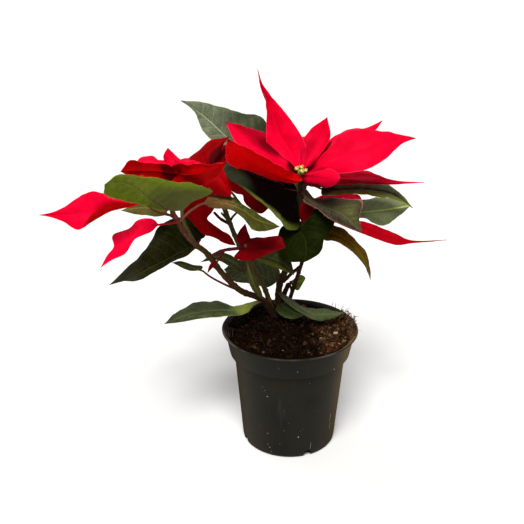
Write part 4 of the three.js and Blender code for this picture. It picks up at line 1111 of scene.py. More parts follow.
def blade_material(name, look):
    """A blade's surface: mottled colour on each side, veins and a fine net between them, a tinted
    margin, painted shade and painted light from its marks, a reddish stalk, and light through it."""
    material, tree = new_material(name)
    s, t, side = split(tree, mesh_vector(tree, "blade"))
    along, away, phase = split(tree, mesh_vector(tree, "place"))
    # The marks: painted shade, then patch, painted light.
    marks = split(tree, mesh_vector(tree, "marks"))
    is_stalk = between(tree, side, *SKIN["stalk_side"])
    is_upper = maths(tree, "SUBTRACT", between(tree, side, *SKIN["upper_side"]), is_stalk)
    outness = maths(tree, "ABSOLUTE", t)
    phase = maths(tree, "FRACT", maths(tree, "ADD", phase, 0.5))
    beside = maths(tree, "ABSOLUTE", maths(tree, "SUBTRACT", phase, 0.5))
    fade = between(tree, outness, *SKIN["side_fade"])
    side_vein = times(tree, between(tree, beside, *SKIN["side_vein"]), fade)
    midrib = between(tree, maths(tree, "ABSOLUTE", away), *SKIN["midrib"])
    vein = maths(tree, "MAXIMUM", times(tree, side_vein, SKIN["side_in_all"]), midrib)
    flat = node(tree, "CombineXYZ", {0: along, 1: away, 2: 0.0}).outputs[0]
    cells = node(tree, "TexVoronoi", {"Vector": flat, **SKIN["net"]}, feature="DISTANCE_TO_EDGE")
    net = between(tree, cells.outputs["Distance"], *SKIN["net_line"])
    waves, low, high = SKIN["cloud"]
    cloud = between(tree, pattern(tree, waves), low, high)
    fine = pattern(tree, *SKIN["fine"])

    colour = blade_colour(tree, look, s, side_vein, midrib, vein, outness, net, cloud, is_upper, marks)
    stalk = mix(tree, between(tree, s, *SKIN["rib_on"]), look["stalk"], look["rib"])
    # Painted shade from the marks darkens the stalk too.
    stalk = mix(tree, times(tree, marks[0], SKIN["stalk_painted_shade"]), stalk, look["dark"])
    colour = mix(tree, is_stalk, colour, stalk)
    colour = scaled(tree, colour, between(tree, fine, *SKIN["grain"], look["mottle"], 2 - look["mottle"]))

    relief = maths(tree, "ADD", times(tree, fine, 0.5), times(tree, net, -0.5))
    normal = bump(tree, relief, *SKIN["bump"])
    smooth, rough = (look["roughness"] + change for change in SKIN["roughness"])
    skin = node(tree, "BsdfPrincipled", {
        "Base Color": colour,
        "Roughness": between(tree, cloud, 0.0, 1.0, smooth, rough),
        "Specular IOR Level": look["gloss"],
        "Specular Tint": (*look["sheen"], 1.0),
        "Normal": normal,
    })
    light = mix(tree, vein, look["through"], shade(look["through"], SKIN["vein_shade"]))
    through = node(tree, "BsdfTranslucent", {"Color": light, "Normal": normal})
    glow = times(tree, maths(tree, "SUBTRACT", 1.0, is_stalk), look["glow"])
    finish_material(tree, blend(tree, glow, skin, through))
    return material


# The pot's surface. Scales are in waves per metre and heights in metres. Pairs are where a feature is
# nothing and where it is full.
PLASTIC = {
    "cloud": (28.0, 4.0),
    "black": ((0.0042, 0.0048, 0.0034), (0.008, 0.0076, 0.0048)),
    "drips": (190.0, 3.0, (0.60, 0.78), 0.22, (0.04, 0.038, 0.032)),
    "drip_stretch": (1, 1, 0.12),
    # A painted glint: a lighter line along the top of the lip.
    "lip_glint": ((0.1070, 0.1076), (0.40, 0.60), 0.7, (0.06, 0.064, 0.056)),
    "speck": (210.0, (0.12, 0.05), (0.72, 0.80), (0.42, 0.4, 0.36)),
    "speck_tone": (0.3, 1.0, 0.15, 1.0),
    "dusty": (45.0, (0.42, 0.6), (0.034, 0.012, 0.0, 0.9)),
    "roughness": (0.40, 0.52),
    # The next two: a warm matt colour, darker on the left and lighter on the right, and how far it is mixed
    # in towards the outline by the angle of view: painted reflection and painted light.
    "painted_reflection": ((0.032, 0.054), (0.03, 0.021, 0.01), (0.145, 0.094, 0.04)),
    "edge": (0.30, 0.85, 0.0, 0.85),
}


def pot_material():
    """Black moulded plastic, dulled, with dust specks, a few drips and scuffs. Towards the outline it turns
    to a warm matt colour, darker on the left and lighter on the right, which follows the view: painted
    reflection and painted light, and an open fault."""
    material, tree = new_material("pot_plastic")
    where = object_place(tree)
    across, _, height = split(tree, where)
    cloud = pattern(tree, *PLASTIC["cloud"])
    base = mix(tree, between(tree, cloud, 0.35, 0.65), *PLASTIC["black"])

    scale, detail, span, strength, tone = PLASTIC["drips"]
    stretched = node(tree, "Mapping", {"Vector": where, "Scale": PLASTIC["drip_stretch"]}).outputs[0]
    drips = between(tree, pattern(tree, scale, detail, vector=stretched), *span)
    base = mix(tree, times(tree, drips, strength), base, tone)

    # A painted glint along the top of the lip.
    rise, clouded, strength, tone = PLASTIC["lip_glint"]
    glint = times(tree, between(tree, height, *rise), between(tree, cloud, *clouded))
    base = mix(tree, times(tree, glint, strength), base, tone)

    scale, size, share, tone = PLASTIC["speck"]
    cells = node(tree, "TexVoronoi", {"Vector": where, "Scale": scale})
    near = between(tree, cells.outputs["Distance"], *size)
    pick, bright, _ = split(tree, cells.outputs["Color"])
    chosen = times(tree, between(tree, pick, *share), between(tree, bright, *PLASTIC["speck_tone"]))
    scale, span, low_down = PLASTIC["dusty"]
    dusty = between(tree, pattern(tree, scale, 2.0), *span)
    dusty = maths(tree, "MAXIMUM", dusty, between(tree, height, *low_down))
    specks = times(tree, near, chosen, dusty)
    base = mix(tree, specks, base, tone)

    rough = between(tree, cloud, 0.3, 0.7, *PLASTIC["roughness"])
    rough = maths(tree, "ADD", rough, times(tree, specks, 0.3))
    relief = maths(tree, "ADD", pattern(tree, 1400.0, 2.0), specks)
    skin = node(tree, "BsdfPrincipled", {
        "Base Color": base,
        "Roughness": rough,
        "Specular IOR Level": 0.10,
        "Specular Tint": (1.0, 0.90, 0.76, 1.0),
        "Normal": bump(tree, relief, 0.25, 0.0002),
    })
    # A painted reflection, lighter on the right: a warm matt colour mixed in towards the outline by the
    # angle of view.
    span, far, near = PLASTIC["painted_reflection"]
    edge_reflection = node(tree, "BsdfDiffuse", {"Color": mix(tree, between(tree, across, *span), far, near)})
    facing = node(tree, "LayerWeight", {"Blend": 0.5}).outputs["Facing"]
    finish_material(tree, blend(tree, between(tree, facing, *PLASTIC["edge"]), skin, edge_reflection))
    return material


def tinted_material(name, scale, roughness, spread, relief_mm, gloss=0.3):
    """A surface coloured by the mesh's own tint, mottled and roughened by noise."""
    material, tree = new_material(name)
    mottle = pattern(tree, scale, 5.0, 0.65)
    colour = scaled(tree, mesh_vector(tree, "tint"), between(tree, mottle, 0.3, 0.7, 1 - spread, 1 + spread))
    skin = node(tree, "BsdfPrincipled", {
        "Base Color": colour,
        "Roughness": between(tree, mottle, 0.2, 0.8, roughness - 0.08, roughness + 0.08),
        "Specular IOR Level": gloss,
        "Normal": bump(tree, mottle, 0.6, relief_mm * MM),
    })
    finish_material(tree, skin.outputs[0])
    return material


# ---------- Pot ----------
CORNER_POINTS = 6
WALL_STEP = 6  # longest step along the pot's outline
SHARP_ANGLE = 38
TINY = 1e-6


def rounded(profile):
    """A [radius, height, rounding] outline with each corner turned into an arc of points."""
    made = []
    for k, (r, z, bend) in enumerate(profile):
        here = np.array([r, z], float)
        if bend == 0 or k in (0, len(profile) - 1):
            made.append(here)
            continue
        before = unit(np.array(profile[k - 1][:2]) - here)
        after = unit(np.array(profile[k + 1][:2]) - here)
        for share in np.linspace(0, 1, CORNER_POINTS):
            corner = (1 - share) ** 2 * (here + before * bend) + 2 * share * (1 - share) * here
            made.append(corner + share**2 * (here + after * bend))
    return made


def pot_outline():
    """Half of the pot's section, from the middle of its underside round to the middle of its floor."""
    top, lip, wall, floor = POT["height"], POT["lip"], POT["wall"], POT["floor"]
    under_lip = top - POT["lip_thick"]
    line = rounded([
        (0, 0, 0),
        (POT["base"], 0, POT["base_round"]),
        (POT["shoulder"], BAND_Z, 0.5),
        (POT["band_foot"], BAND_Z + POT["band_step"], 0.6),
        (POT["band_top"], under_lip - POT["flare"], 0.7),
        (lip - 0.9, under_lip, 0.3),
        (lip, top - 0.6, 0.35),
        (lip - 0.5, top, 0.3),
        (lip - POT["lip_flat"], top, 0.5),
        (POT["band_top"] - wall, top - POT["throat"], 0.6),
        (POT["band_foot"] - wall, BAND_Z + 3, 0.5),
        (POT["shoulder"] - wall, BAND_Z - 1, 0.5),
        (POT["base"] - wall, floor, 2),
        (0, floor, 0),
    ])
    fine = [line[0]]
    for a, b in zip(line, line[1:]):
        steps = max(1, int(np.linalg.norm(b - a) / WALL_STEP))
        fine += [lerp(a, b, k / steps) for k in range(1, steps + 1)]
    return fine


def from_bmesh(name, made):
    mesh = bpy.data.meshes.new(name)
    made.to_mesh(mesh)
    made.free()
    return add_object(name, mesh)


def make_pot():
    """The pot, turned from its outline, with its drainage notches cut out."""
    made = bmesh.new()
    sides = POT["segments"]
    turns = [2 * math.pi * k / sides for k in range(sides)]
    rings = []
    for r, z in pot_outline():
        if r < TINY:
            rings.append([made.verts.new((0, 0, z * MM))])
        else:
            spots = [(math.cos(a) * r * MM, math.sin(a) * r * MM, z * MM) for a in turns]
            rings.append([made.verts.new(spot) for spot in spots])
    for low, high in zip(rings, rings[1:]):
        for k in range(sides):
            n = (k + 1) % sides
            corners = [low[k % len(low)], low[n % len(low)], high[n % len(high)], high[k % len(high)]]
            made.faces.new(list(dict.fromkeys(corners)))
    pot = from_bmesh("pot_body", made)
    cutter = notch_cutter()
    cut = pot.modifiers.new("notches", "BOOLEAN")
    cut.operation, cut.object, cut.solver = "DIFFERENCE", cutter, "EXACT"
    bpy.context.view_layer.update()
    carved = bpy.data.meshes.new_from_object(pot.evaluated_get(bpy.context.evaluated_depsgraph_get()))
    pot.modifiers.clear()
    pot.data = carved
    bpy.data.objects.remove(cutter)
    carved.shade_smooth()
    carved.set_sharp_from_angle(angle=math.radians(SHARP_ANGLE))
    carved.materials.clear()
    carved.materials.append(pot_material())
    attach(pot, "root")
    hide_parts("pot")


def notch_cutter():
    """Rounded blocks that cut the drainage notches into the pot's lower edge."""
    made = bmesh.new()
    for k in range(NOTCH["count"]):
        block = bmesh.ops.create_cube(made, size=1)["verts"]
        turn = math.radians(NOTCH["turn"] + k * 360 / NOTCH["count"])
        for vertex in block:
            x = POT["base"] + vertex.co.x * NOTCH["depth"] * 2
            y = vertex.co.y * NOTCH["width"]
            z = vertex.co.z * NOTCH["height"] * 2
            spot = (x * math.cos(turn) - y * math.sin(turn), x * math.sin(turn) + y * math.cos(turn), z)
            vertex.co = Vector(spot) * MM
    ends = [(edge, edge.verts[0].co.z, edge.verts[1].co.z) for edge in made.edges]
    top = [edge for edge, a, b in ends if abs(a - b) < TINY and a > 0]
    bmesh.ops.bevel(made, geom=top, offset=NOTCH["round"] * MM, segments=4, affect="EDGES")
    return from_bmesh("notch_cutter", made)


# Splashes of lime on the wall: degrees round from the front, height, size.
FLECKS = [
    (9.3, 22.7, 0.55), (-25, 63.6, 0.4), (-30.5, 72, 0.3), (-28, 69, 0.32), (-7.6, 51, 0.22),
    (-24.8, 8.9, 0.42), (-27, 12, 0.3), (-23, 4.5, 0.3), (43, 88, 0.45), (40.5, 85, 0.35), (37, 101, 0.4),
    (18.8, 78, 0.25), (-12, 15, 0.25), (15, 31, 0.2), (-2, 38, 0.22), (31, 47, 0.22), (-36, 30, 0.2),
    (78, 60, 0.4), (105, 33, 0.3), (140, 70, 0.35), (-80, 44, 0.35), (-115, 18, 0.4), (175, 25, 0.3),
    (-150, 66, 0.3),
]
# Scratches: degrees round at the top and foot, and the two heights.
SCRATCHES = [(25.5, 25.2, 14, 6.6), (54, 53, 36, 28), (55.5, 55, 26, 19), (-100, -98, 52, 41),
    (160, 161, 48, 40)]
SCRATCH = {"points": 9, "sunk": -0.06, "sides": 8, "tone": (0.17, 0.16, 0.13)}
LIME = (0.36, 0.35, 0.3)


def on_wall(turn, z, out):
    """A point on the pot's wall, raised by out."""
    radius = lerp(POT["base"], POT["shoulder"], z / BAND_Z)
    if z > BAND_Z + POT["band_step"]:
        radius = lerp(POT["band_foot"], POT["band_top"], (z - BAND_Z) / (POT["height"] - BAND_Z))
    angle = math.radians(turn)
    return np.array([math.sin(angle) * (radius + out), -math.cos(angle) * (radius + out), z])


def make_flecks():
    """Splashes of lime and scratches, as thin raised pieces on the pot's wall."""
    parts = Parts()
    for turn, z, size in FLECKS:
        tone = np.array(LIME) * min(1.0, size * 2)
        parts.add(*ball(on_wall(turn, z, -0.3 * size), size, 2, 0.5, seed=turn), tint=tone)
    shares = np.linspace(0, 1, SCRATCH["points"])
    radii = 0.10 + 0.12 * np.sin(np.linspace(0.2, 3, SCRATCH["points"]))
    for high_turn, low_turn, high, low in SCRATCHES:
        path = [on_wall(lerp(high_turn, low_turn, u), lerp(high, low, u), SCRATCH["sunk"]) for u in shares]
        parts.add(*tube(path, radii, SCRATCH["sides"]), tint=SCRATCH["tone"])
    parts.build("pot_flecks", [], tinted_material("lime_fleck", 900.0, 0.8, 0.3, 0.1, 0.2))


# ---------- Soil ----------
SOIL_COLOURS = [(0.034, 0.013, 0.005), (0.058, 0.021, 0.007), (0.018, 0.007, 0.003), (0.105, 0.044, 0.015),
    (0.075, 0.02, 0.008), (0.2, 0.105, 0.045)]
BED = {
    "rings": 96,
    "spokes": 260,
    "hub": 0.3,  # radius of the innermost ring
    "seam": 0.4,  # least step down from the surface to its side
}
CRUMBS = {"count": 1500, "reach": 55.5, "size": (0.45, 1.3)}
BANK = {  # loose soil banked against the right of the lip
    "count": 340,
    "turn": 0.12,
    "spread": 0.30,
    "reach": (46, 57.5),
    "size": (0.5, 1.2),
    "rise": 3.6,
    "rise_from": (45, 54),
    "foot": 106.2,
    # How light the banked crumbs are painted, as lit as the right of the soil: painted light.
    "painted_light": 0.46,
}
FINE_CRUMB = 0.9  # crumbs larger than this are made finer
# The larger grains: x, y and size. The small ones are strewn.
PERLITE = [(26.7, -18.7, 1.5), (39.7, -7.6, 1.5), (47.3, 4.2, 1.1), (46.4, -21.3, 0.9), (52.3, -18.1, 0.8),
    (-7.4, -46.1, 0.6), (-23.5, -46.3, 0.8), (14.1, -45.1, 0.7), (-32.8, -35.2, 0.6), (1.9, 2.3, 1.2)]
PERLITE_TONE, GRIT_TONE = (0.62, 0.47, 0.32), (0.42, 0.32, 0.22)
GRIT = {"count": 160, "reach": 54, "share": 0.97, "size": (0.18, 0.3)}
FIBRES = {
    "count": 420,
    "reach": 54.5,
    "on_right": 0.55,  # the share of fibres that lie on the right side, where the soil is painted lighter
    "length": (3, 9),
    "curl": 0.35,
    "points": 7,
    "radii": (0.22, 0.08),
    "tones": [(0.11, 0.05, 0.018), (0.07, 0.031, 0.012), (0.17, 0.09, 0.034)],
}
ROOTS = {  # root ends that stand above the lip, most of them on the right
    "count": 120,
    "on_right": 110,
    "right": (0.16, 0.30, 3, 12, 0.8),  # turn, its spread, least and most height, brightness
    "left": (math.pi + 0.1, 0.16, 4, 6, 0.3),
    "reach": 55.2,
    "points": 8,
    "radii": (0.42, 0.18),
    "tones": [(0.035, 0.016, 0.006), (0.06, 0.03, 0.012), (0.12, 0.07, 0.03)],
}
FALLEN = {"path": [(-43, 27, 104.5), (-36, 14, 107), (-27, 0, 106)], "points": 24, "radii": (0.7, 1.0),
    "tone": (0.16, 0.012, 0.018)}
THREAD_SIDES = 5


def soil_height(x, y):
    """Height of the heaped soil without its crumbs."""
    away = math.hypot(x - SOIL["heap_at"][0], y - SOIL["heap_at"][1]) / SOIL["heap_spread"]
    rough = math.sin(x * 0.83 + 1.7) * math.cos(y * 0.71) + math.sin(x * 0.31 - y * 0.47 + 0.6)
    calm = min(1.0, max(0.0, (POT["band_foot"] - math.hypot(x, y)) / SOIL["calm"]))
    fall = x * SOIL["slope"][0] + y * SOIL["slope"][1]
    return SOIL["rim"] + SOIL["heap"] * math.exp(-away * away) - fall + SOIL["roughness"] * rough * calm


def crumb(x, y):
    """Height of the crumbs on the soil's surface."""
    spot = Vector((x, y, 0))
    big = noise.noise(spot * 0.16) * 1.6
    mid = abs(noise.noise(spot * 0.42 + Vector((7, 3, 0)))) * 1.9
    small = abs(noise.noise(spot * 1.15 + Vector((1, 9, 0)))) * 1.0
    return big + mid + small - 0.7


def ground(x, y):
    return soil_height(x, y) + crumb(x, y)


def brim_radius(z):
    """Radius of the soil at the wall, at a height in the band."""
    low, high = BAND_Z + 3, POT["height"] - POT["throat"]
    share = min(1.0, max(0.0, (z - low) / (high - low)))
    opening = max(0.0, z - high - 0.4) * SOIL["spread"]
    return lerp(POT["band_foot"], POT["band_top"], share) + opening - POT["wall"] - SOIL["clear"]


def painted_soil_light(x, y):
    """How light the soil is painted at a spot: painted light to the right, and the plant's painted
    shadow on the left and in the middle.
    """
    away = (x - 9) * 0.95 + (y - 17) * 0.32 + 9 * noise.noise(Vector((x, y, 3)) * 0.09)
    return lerp(0.09, 0.44, float(smoothstep(-7, 7, away)))


def make_soil_bed(material):
    """The soil's rough surface, and its side and underside within the pot."""
    count, spokes = BED["rings"], BED["spokes"]
    turns = [2 * math.pi * j / spokes for j in range(spokes)]
    points, tints = [], []
    for i in range(count + 1):
        for turn in turns:
            edge = brim_radius(soil_height(*polar(POT["band_foot"], turn)))
            r = edge * (1 - i / count) if i < count else BED["hub"]
            x, y = polar(r, turn)
            z = soil_height(x, y) + crumb(x, y) * min(1, (edge - r) / 3 + 0.3)
            points.append((x, y, z))
            patch = 0.5 + 0.5 * noise.noise(Vector((x, y, 0)) * 0.11)
            tints.append(np.array(SOIL_COLOURS[0]) * (0.6 + 0.9 * patch) * painted_soil_light(x, y))
    faces = ring_faces(count, spokes)
    faces.append([count * spokes + j for j in range(spokes)])
    wall, clear, floor = POT["wall"], SOIL["clear"], POT["floor"]
    side = [
        (POT["band_top"] - wall - clear, POT["height"] - POT["throat"] - 0.4),
        (POT["band_foot"] - wall - clear, BAND_Z + 3.4),
        (POT["shoulder"] - wall - clear, BAND_Z - 0.7),
        (POT["base"] - wall - clear, floor + 2.3),
        (POT["base"] - wall - 2.5, floor + 0.3),
    ]
    above = 0
    for r, z in side:
        first = len(points)
        for j, turn in enumerate(turns):
            n = (j + 1) % spokes
            low = min(z, points[j][2] - BED["seam"])
            points.append((*polar(min(r, brim_radius(low)), turn), low))
            tints.append(np.array(SOIL_COLOURS[2]) * 0.4)
            faces.append([above + n, above + j, first + j, first + n])
        above = first
    faces.append([above + j for j in range(spokes)][::-1])
    bed = Parts()
    bed.add(points, faces, tint=tints)
    bed.build("soil_bed", ["soil"], material)


def add_crumb(parts, at, size, stretch, seed, tint):
    parts.add(*ball(at, size, 2 if size > FINE_CRUMB else 1, 0.5, stretch, seed), tint=tint)


def make_crumbs(draw, material):
    """Loose crumbs: strewn all over the surface, and banked against the right of the lip."""
    parts = Parts()
    least, more = CRUMBS["size"]
    for k in range(CRUMBS["count"]):
        turn, out = draw.uniform(0, 2 * math.pi), math.sqrt(draw.random())
        x, y = polar(out * CRUMBS["reach"], turn)
        size = least + more * draw.random() ** 3
        stretch = [draw.uniform(0.7, 1.3) for _ in range(3)]
        tint = np.array(draw.choice(SOIL_COLOURS)) * draw.uniform(0.6, 1.7) * painted_soil_light(x, y)
        add_crumb(parts, (x, y, ground(x, y) + size * 0.3), size, stretch, k, tint)
    least, more = BANK["size"]
    for k in range(BANK["count"]):
        turn, r = draw.gauss(BANK["turn"], BANK["spread"]), draw.uniform(*BANK["reach"])
        x, y = polar(r, turn)
        size = least + more * draw.random() ** 2
        heaped = math.exp(-(((turn - BANK["turn"]) / BANK["spread"]) ** 2))
        bank = BANK["rise"] * heaped * float(smoothstep(*BANK["rise_from"], r))
        z = max(soil_height(x, y), BANK["foot"]) + draw.uniform(0.1, 1) * bank
        tint = np.array(draw.choice(SOIL_COLOURS)) * draw.uniform(0.4, 1.3) * BANK["painted_light"]
        stretch = [draw.uniform(0.7, 1.4) for _ in range(3)]
        add_crumb(parts, (x, y, z), size, stretch, k + 0.5, tint)
    parts.build("soil_crumbs", [], material)


def make_perlite(draw):
    """The pale grains, and fine grit strewn among them."""
    parts = Parts()
    for x, y, size in PERLITE:
        tint = np.array(PERLITE_TONE) * painted_soil_light(x, y)
        at = (x, y, ground(x, y) + size * 0.35)
        parts.add(*ball(at, size * 1.2, 3, 0.55, (1.15, 0.9, 0.7), x), tint=tint)
    least, more = GRIT["size"]
    for k in range(GRIT["count"]):
        turn, out = draw.uniform(0, 2 * math.pi), math.sqrt(draw.random()) * GRIT["share"]
        x, y = polar(out * GRIT["reach"], turn)
        size = least + more * draw.random()
        at = (x, y, ground(x, y) + size * 0.8)
        parts.add(*ball(at, size, 1, 0.3, (1, 1, 0.8), k), tint=np.array(GRIT_TONE) * painted_soil_light(x, y))
    parts.build("perlite", [], tinted_material("perlite", 900.0, 0.8, 0.2, 0.2, 0.3))


def add_fibres(parts, draw):
    """Short curled fibres, lying on the soil."""
    for _ in range(FIBRES["count"]):
        turn, out = draw.uniform(0, 2 * math.pi), math.sqrt(draw.random())
        if draw.random() < FIBRES["on_right"]:
            turn, out = draw.gauss(0.1, 0.55), draw.uniform(0.55, 1.0)
        x, y = polar(out * FIBRES["reach"], turn)
        start = np.array([x, y, ground(x, y) - 0.4])
        heading = np.array([draw.gauss(0, 1), draw.gauss(0, 1), draw.uniform(0.0, 1.0)])
        length = draw.uniform(*FIBRES["length"])
        curl = np.array([draw.gauss(0, 1), draw.gauss(0, 1), draw.gauss(-0.4, 0.5)])
        path = [start]
        for u in np.linspace(0, 1, FIBRES["points"])[1:]:
            p = start + unit(heading) * length * u + curl * length * FIBRES["curl"] * u * u
            path.append(np.maximum(p, [-99, -99, soil_height(p[0], p[1]) + 0.1]))
        tint = np.array(draw.choice(FIBRES["tones"]))
        radii = np.linspace(*FIBRES["radii"], FIBRES["points"]) * draw.uniform(0.7, 1.4)
        parts.add(*tube(path, radii, THREAD_SIDES), tint=tint * draw.uniform(0.8, 1.8) * painted_soil_light(x, y))


def add_roots(parts, draw):
    """Root ends that stand up at the lip, some with a few finer tips."""
    for k in range(ROOTS["count"]):
        middle, spread, least, most, bright = ROOTS["right" if k < ROOTS["on_right"] else "left"]
        turn = draw.gauss(middle, spread)
        x, y = polar(ROOTS["reach"] - draw.uniform(0.0, 3.0), turn)
        start = np.array([x, y, soil_height(x, y)])
        tall = draw.uniform(least, most)
        lean = np.array([math.cos(turn) * draw.uniform(0.0, 4.0), draw.gauss(0, 2.2), tall])
        bow = np.array([draw.gauss(0, 1.5), draw.gauss(0, 1.5), 0])
        shares = np.linspace(0, 1, ROOTS["points"])
        path = [start + lean * u + bow * math.sin(math.pi * u) for u in shares]
        tint = np.array(draw.choice(ROOTS["tones"])) * bright
        parts.add(*tube(path, np.linspace(*ROOTS["radii"], ROOTS["points"]), THREAD_SIDES), tint=tint)
        for _ in range(draw.choice([0, 1, 2, 3])):
            tip = path[-1] + np.array([draw.gauss(0, 1.3), draw.gauss(0, 1.3), draw.uniform(0.2, 1.6)])
            parts.add(*tube([path[-2], path[-1], tip], [0.24, 0.19, 0.14], THREAD_SIDES), tint=tint)


def make_fibres(draw):
    """The fibres and root ends, and a fallen red stalk that lies on the left."""
    parts = Parts()
    add_fibres(parts, draw)
    add_roots(parts, draw)
    count = FALLEN["points"]
    path = Curve(FALLEN["path"]).at(np.linspace(0, 1, count))
    parts.add(*tube(path, np.linspace(*FALLEN["radii"], count), 10), tint=FALLEN["tone"])
    parts.build("soil_fibres", [], tinted_material("fibre", 700.0, 0.75, 0.3, 0.1, 0.2))


def make_soil():
    """The soil's pieces, in the order in which they share one run of random numbers."""
    draw = random.Random("soil")
    material = tinted_material("potting_soil", 420.0, 0.9, 0.6, 1.2, 0.02)
    make_soil_bed(material)
    make_crumbs(draw, material)
    make_perlite(draw)
    make_fibres(draw)


# ---------- Stem ----------
STEM = {
    "step": 0.9,
    "sides": 20,
    "first_node": (3, 9),  # the least and most distance of the first swollen node from the foot
    "node_gap": (9, 15),
    "swell": 0.14,
    "swell_reach": 1.3,
    "uneven": 0.03,
    "scar": 0.34,
}
DARK_WOOD, RED_WOOD, OLIVE_WOOD = (0.022, 0.0095, 0.003), (0.056, 0.009, 0.006), (0.042, 0.022, 0.004)
# The colour at each stem piece's foot and at its top.
STEM_TINTS = [
    ((0.01, 0.0045, 0.0028), (0.014, 0.006, 0.004)),
    ((0.018, 0.009, 0.004), OLIVE_WOOD),
    ((0.07, 0.032, 0.014), (0.12, 0.014, 0.018)),
    ((0.06, 0.034, 0.014), (0.1, 0.085, 0.014)),
    ((0.078, 0.056, 0.016), (0.026, 0.016, 0.005)),
    (DARK_WOOD, RED_WOOD),
    (DARK_WOOD, RED_WOOD),
    (DARK_WOOD, DARK_WOOD),
    (DARK_WOOD, (0.022, 0.018, 0.006)),
    (DARK_WOOD, (0.045, 0.008, 0.006)),
    (RED_WOOD, DARK_WOOD),
    (DARK_WOOD, (0.035, 0.01, 0.007)),
    ((0.06, 0.01, 0.01), (0.045, 0.003, 0.008)),
    (OLIVE_WOOD, (0.03, 0.035, 0.008)),
]
# Short stalks under the right bloom: their points, radius and colour.
SHORT_STALKS = [
    ([(6, 0, 236), (9, -1, 241), (12, -2, 245)], 1.3, (0.1, 0.004, 0.008)),
    ([(7, 0, 235), (14, -1, 239), (24, 1, 240)], 0.9, (0.07, 0.004, 0.008)),
    ([(7, 0, 221), (9.4, -1, 231), (9.9, -2, 241)], 2.1, (0.045, 0.012, 0.01)),
    ([(4, 2, 203), (13, 5, 206), (19, 6, 214), (20, 8, 223)], 1.5, (0.09, 0.016, 0.012)),
    ([(5, 0, 229), (3.2, -2, 236), (2.5, -2, 243)], 2.0, (0.06, 0.06, 0.018)),
]
SHORT_STALK = {"points": 16, "sides": 14, "uneven": 0.06, "waves": 17}


def make_stem():
    """The stem pieces with their swollen nodes and leaf scars, and the short stalks."""
    draw = random.Random("stem")
    parts = Parts()
    sides = STEM["sides"]
    for (path, foot, top), (low, high) in zip(STEMS, STEM_TINTS):
        curve = Curve(path)
        shares = np.linspace(0, 1, max(8, int(curve.length / STEM["step"])))
        reach = shares * curve.length
        radii = lerp(foot, top, shares)
        first, gap = draw.uniform(*STEM["first_node"]), draw.uniform(*STEM["node_gap"])
        spots = np.arange(first, curve.length - 2, gap)
        for spot in spots:
            near = (reach - spot) / STEM["swell_reach"]
            radii = radii + STEM["swell"] * foot * np.exp(-near * near)
        radii = radii * (1 + STEM["uneven"] * np.sin(reach * 1.3 + draw.uniform(0, 6)))
        points, faces = tube(curve.at(shares), radii, sides)
        rings = np.concatenate([[0], shares, [1]]).repeat(sides)
        rings = np.concatenate([rings, [0, 1]])[:, None]
        parts.add(points, faces, tint=lerp(np.array(low), np.array(high), rings))
        for k, spot in enumerate(spots):
            share = spot / curve.length
            around = unit(np.cross(curve.along(share), [math.cos(k * 2.4), math.sin(k * 2.4), 0.2]))
            scar = curve.at(share) + around * lerp(foot, top, share) * 0.92
            parts.add(*ball(scar, STEM["scar"] * foot, 2, 0.2, (1, 1, 0.8), k), tint=np.array(low) * 1.5)
    for path, radius, tone in SHORT_STALKS:
        shares = np.linspace(0, 1, SHORT_STALK["points"])
        radii = radius * (1 + SHORT_STALK["uneven"] * np.sin(shares * SHORT_STALK["waves"]))
        parts.add(*tube(Curve(path).at(shares), radii, SHORT_STALK["sides"]), tint=tone)
    bark = tinted_material("stem_bark", 600.0, 0.6, 0.45, 0.35, 0.05)
    parts.build("stem_branches", ["stem"], bark)


# ---------- Cyathia ----------
# A bead's green cup at its foot and at its top, and its gland. The cup is dark at its foot and pale at
# its top: painted shade and painted light. The right bloom's beads are lit; the second set is a copy in
# painted shade.
LIT_BEADS = ((0.055, 0.08, 0.006), (0.56, 0.54, 0.13), (0.85, 0.74, 0.22))
SHADED_BEADS = ((0.02, 0.018, 0.005), (0.055, 0.045, 0.01), (0.1, 0.045, 0.012))
BEAD = {
    "scale": 1.12,  # beside the solid's bead
    "lobes": 5,
    "lobe": 0.07,
    "width": 0.82,
    "dimple": 0.35,
    "gland": 0.38,
}
STAMEN = {"count": 5, "radii": [0.14, 0.13, 0.12], "tip": 0.24, "tone": (0.45, 0.02, 0.015)}


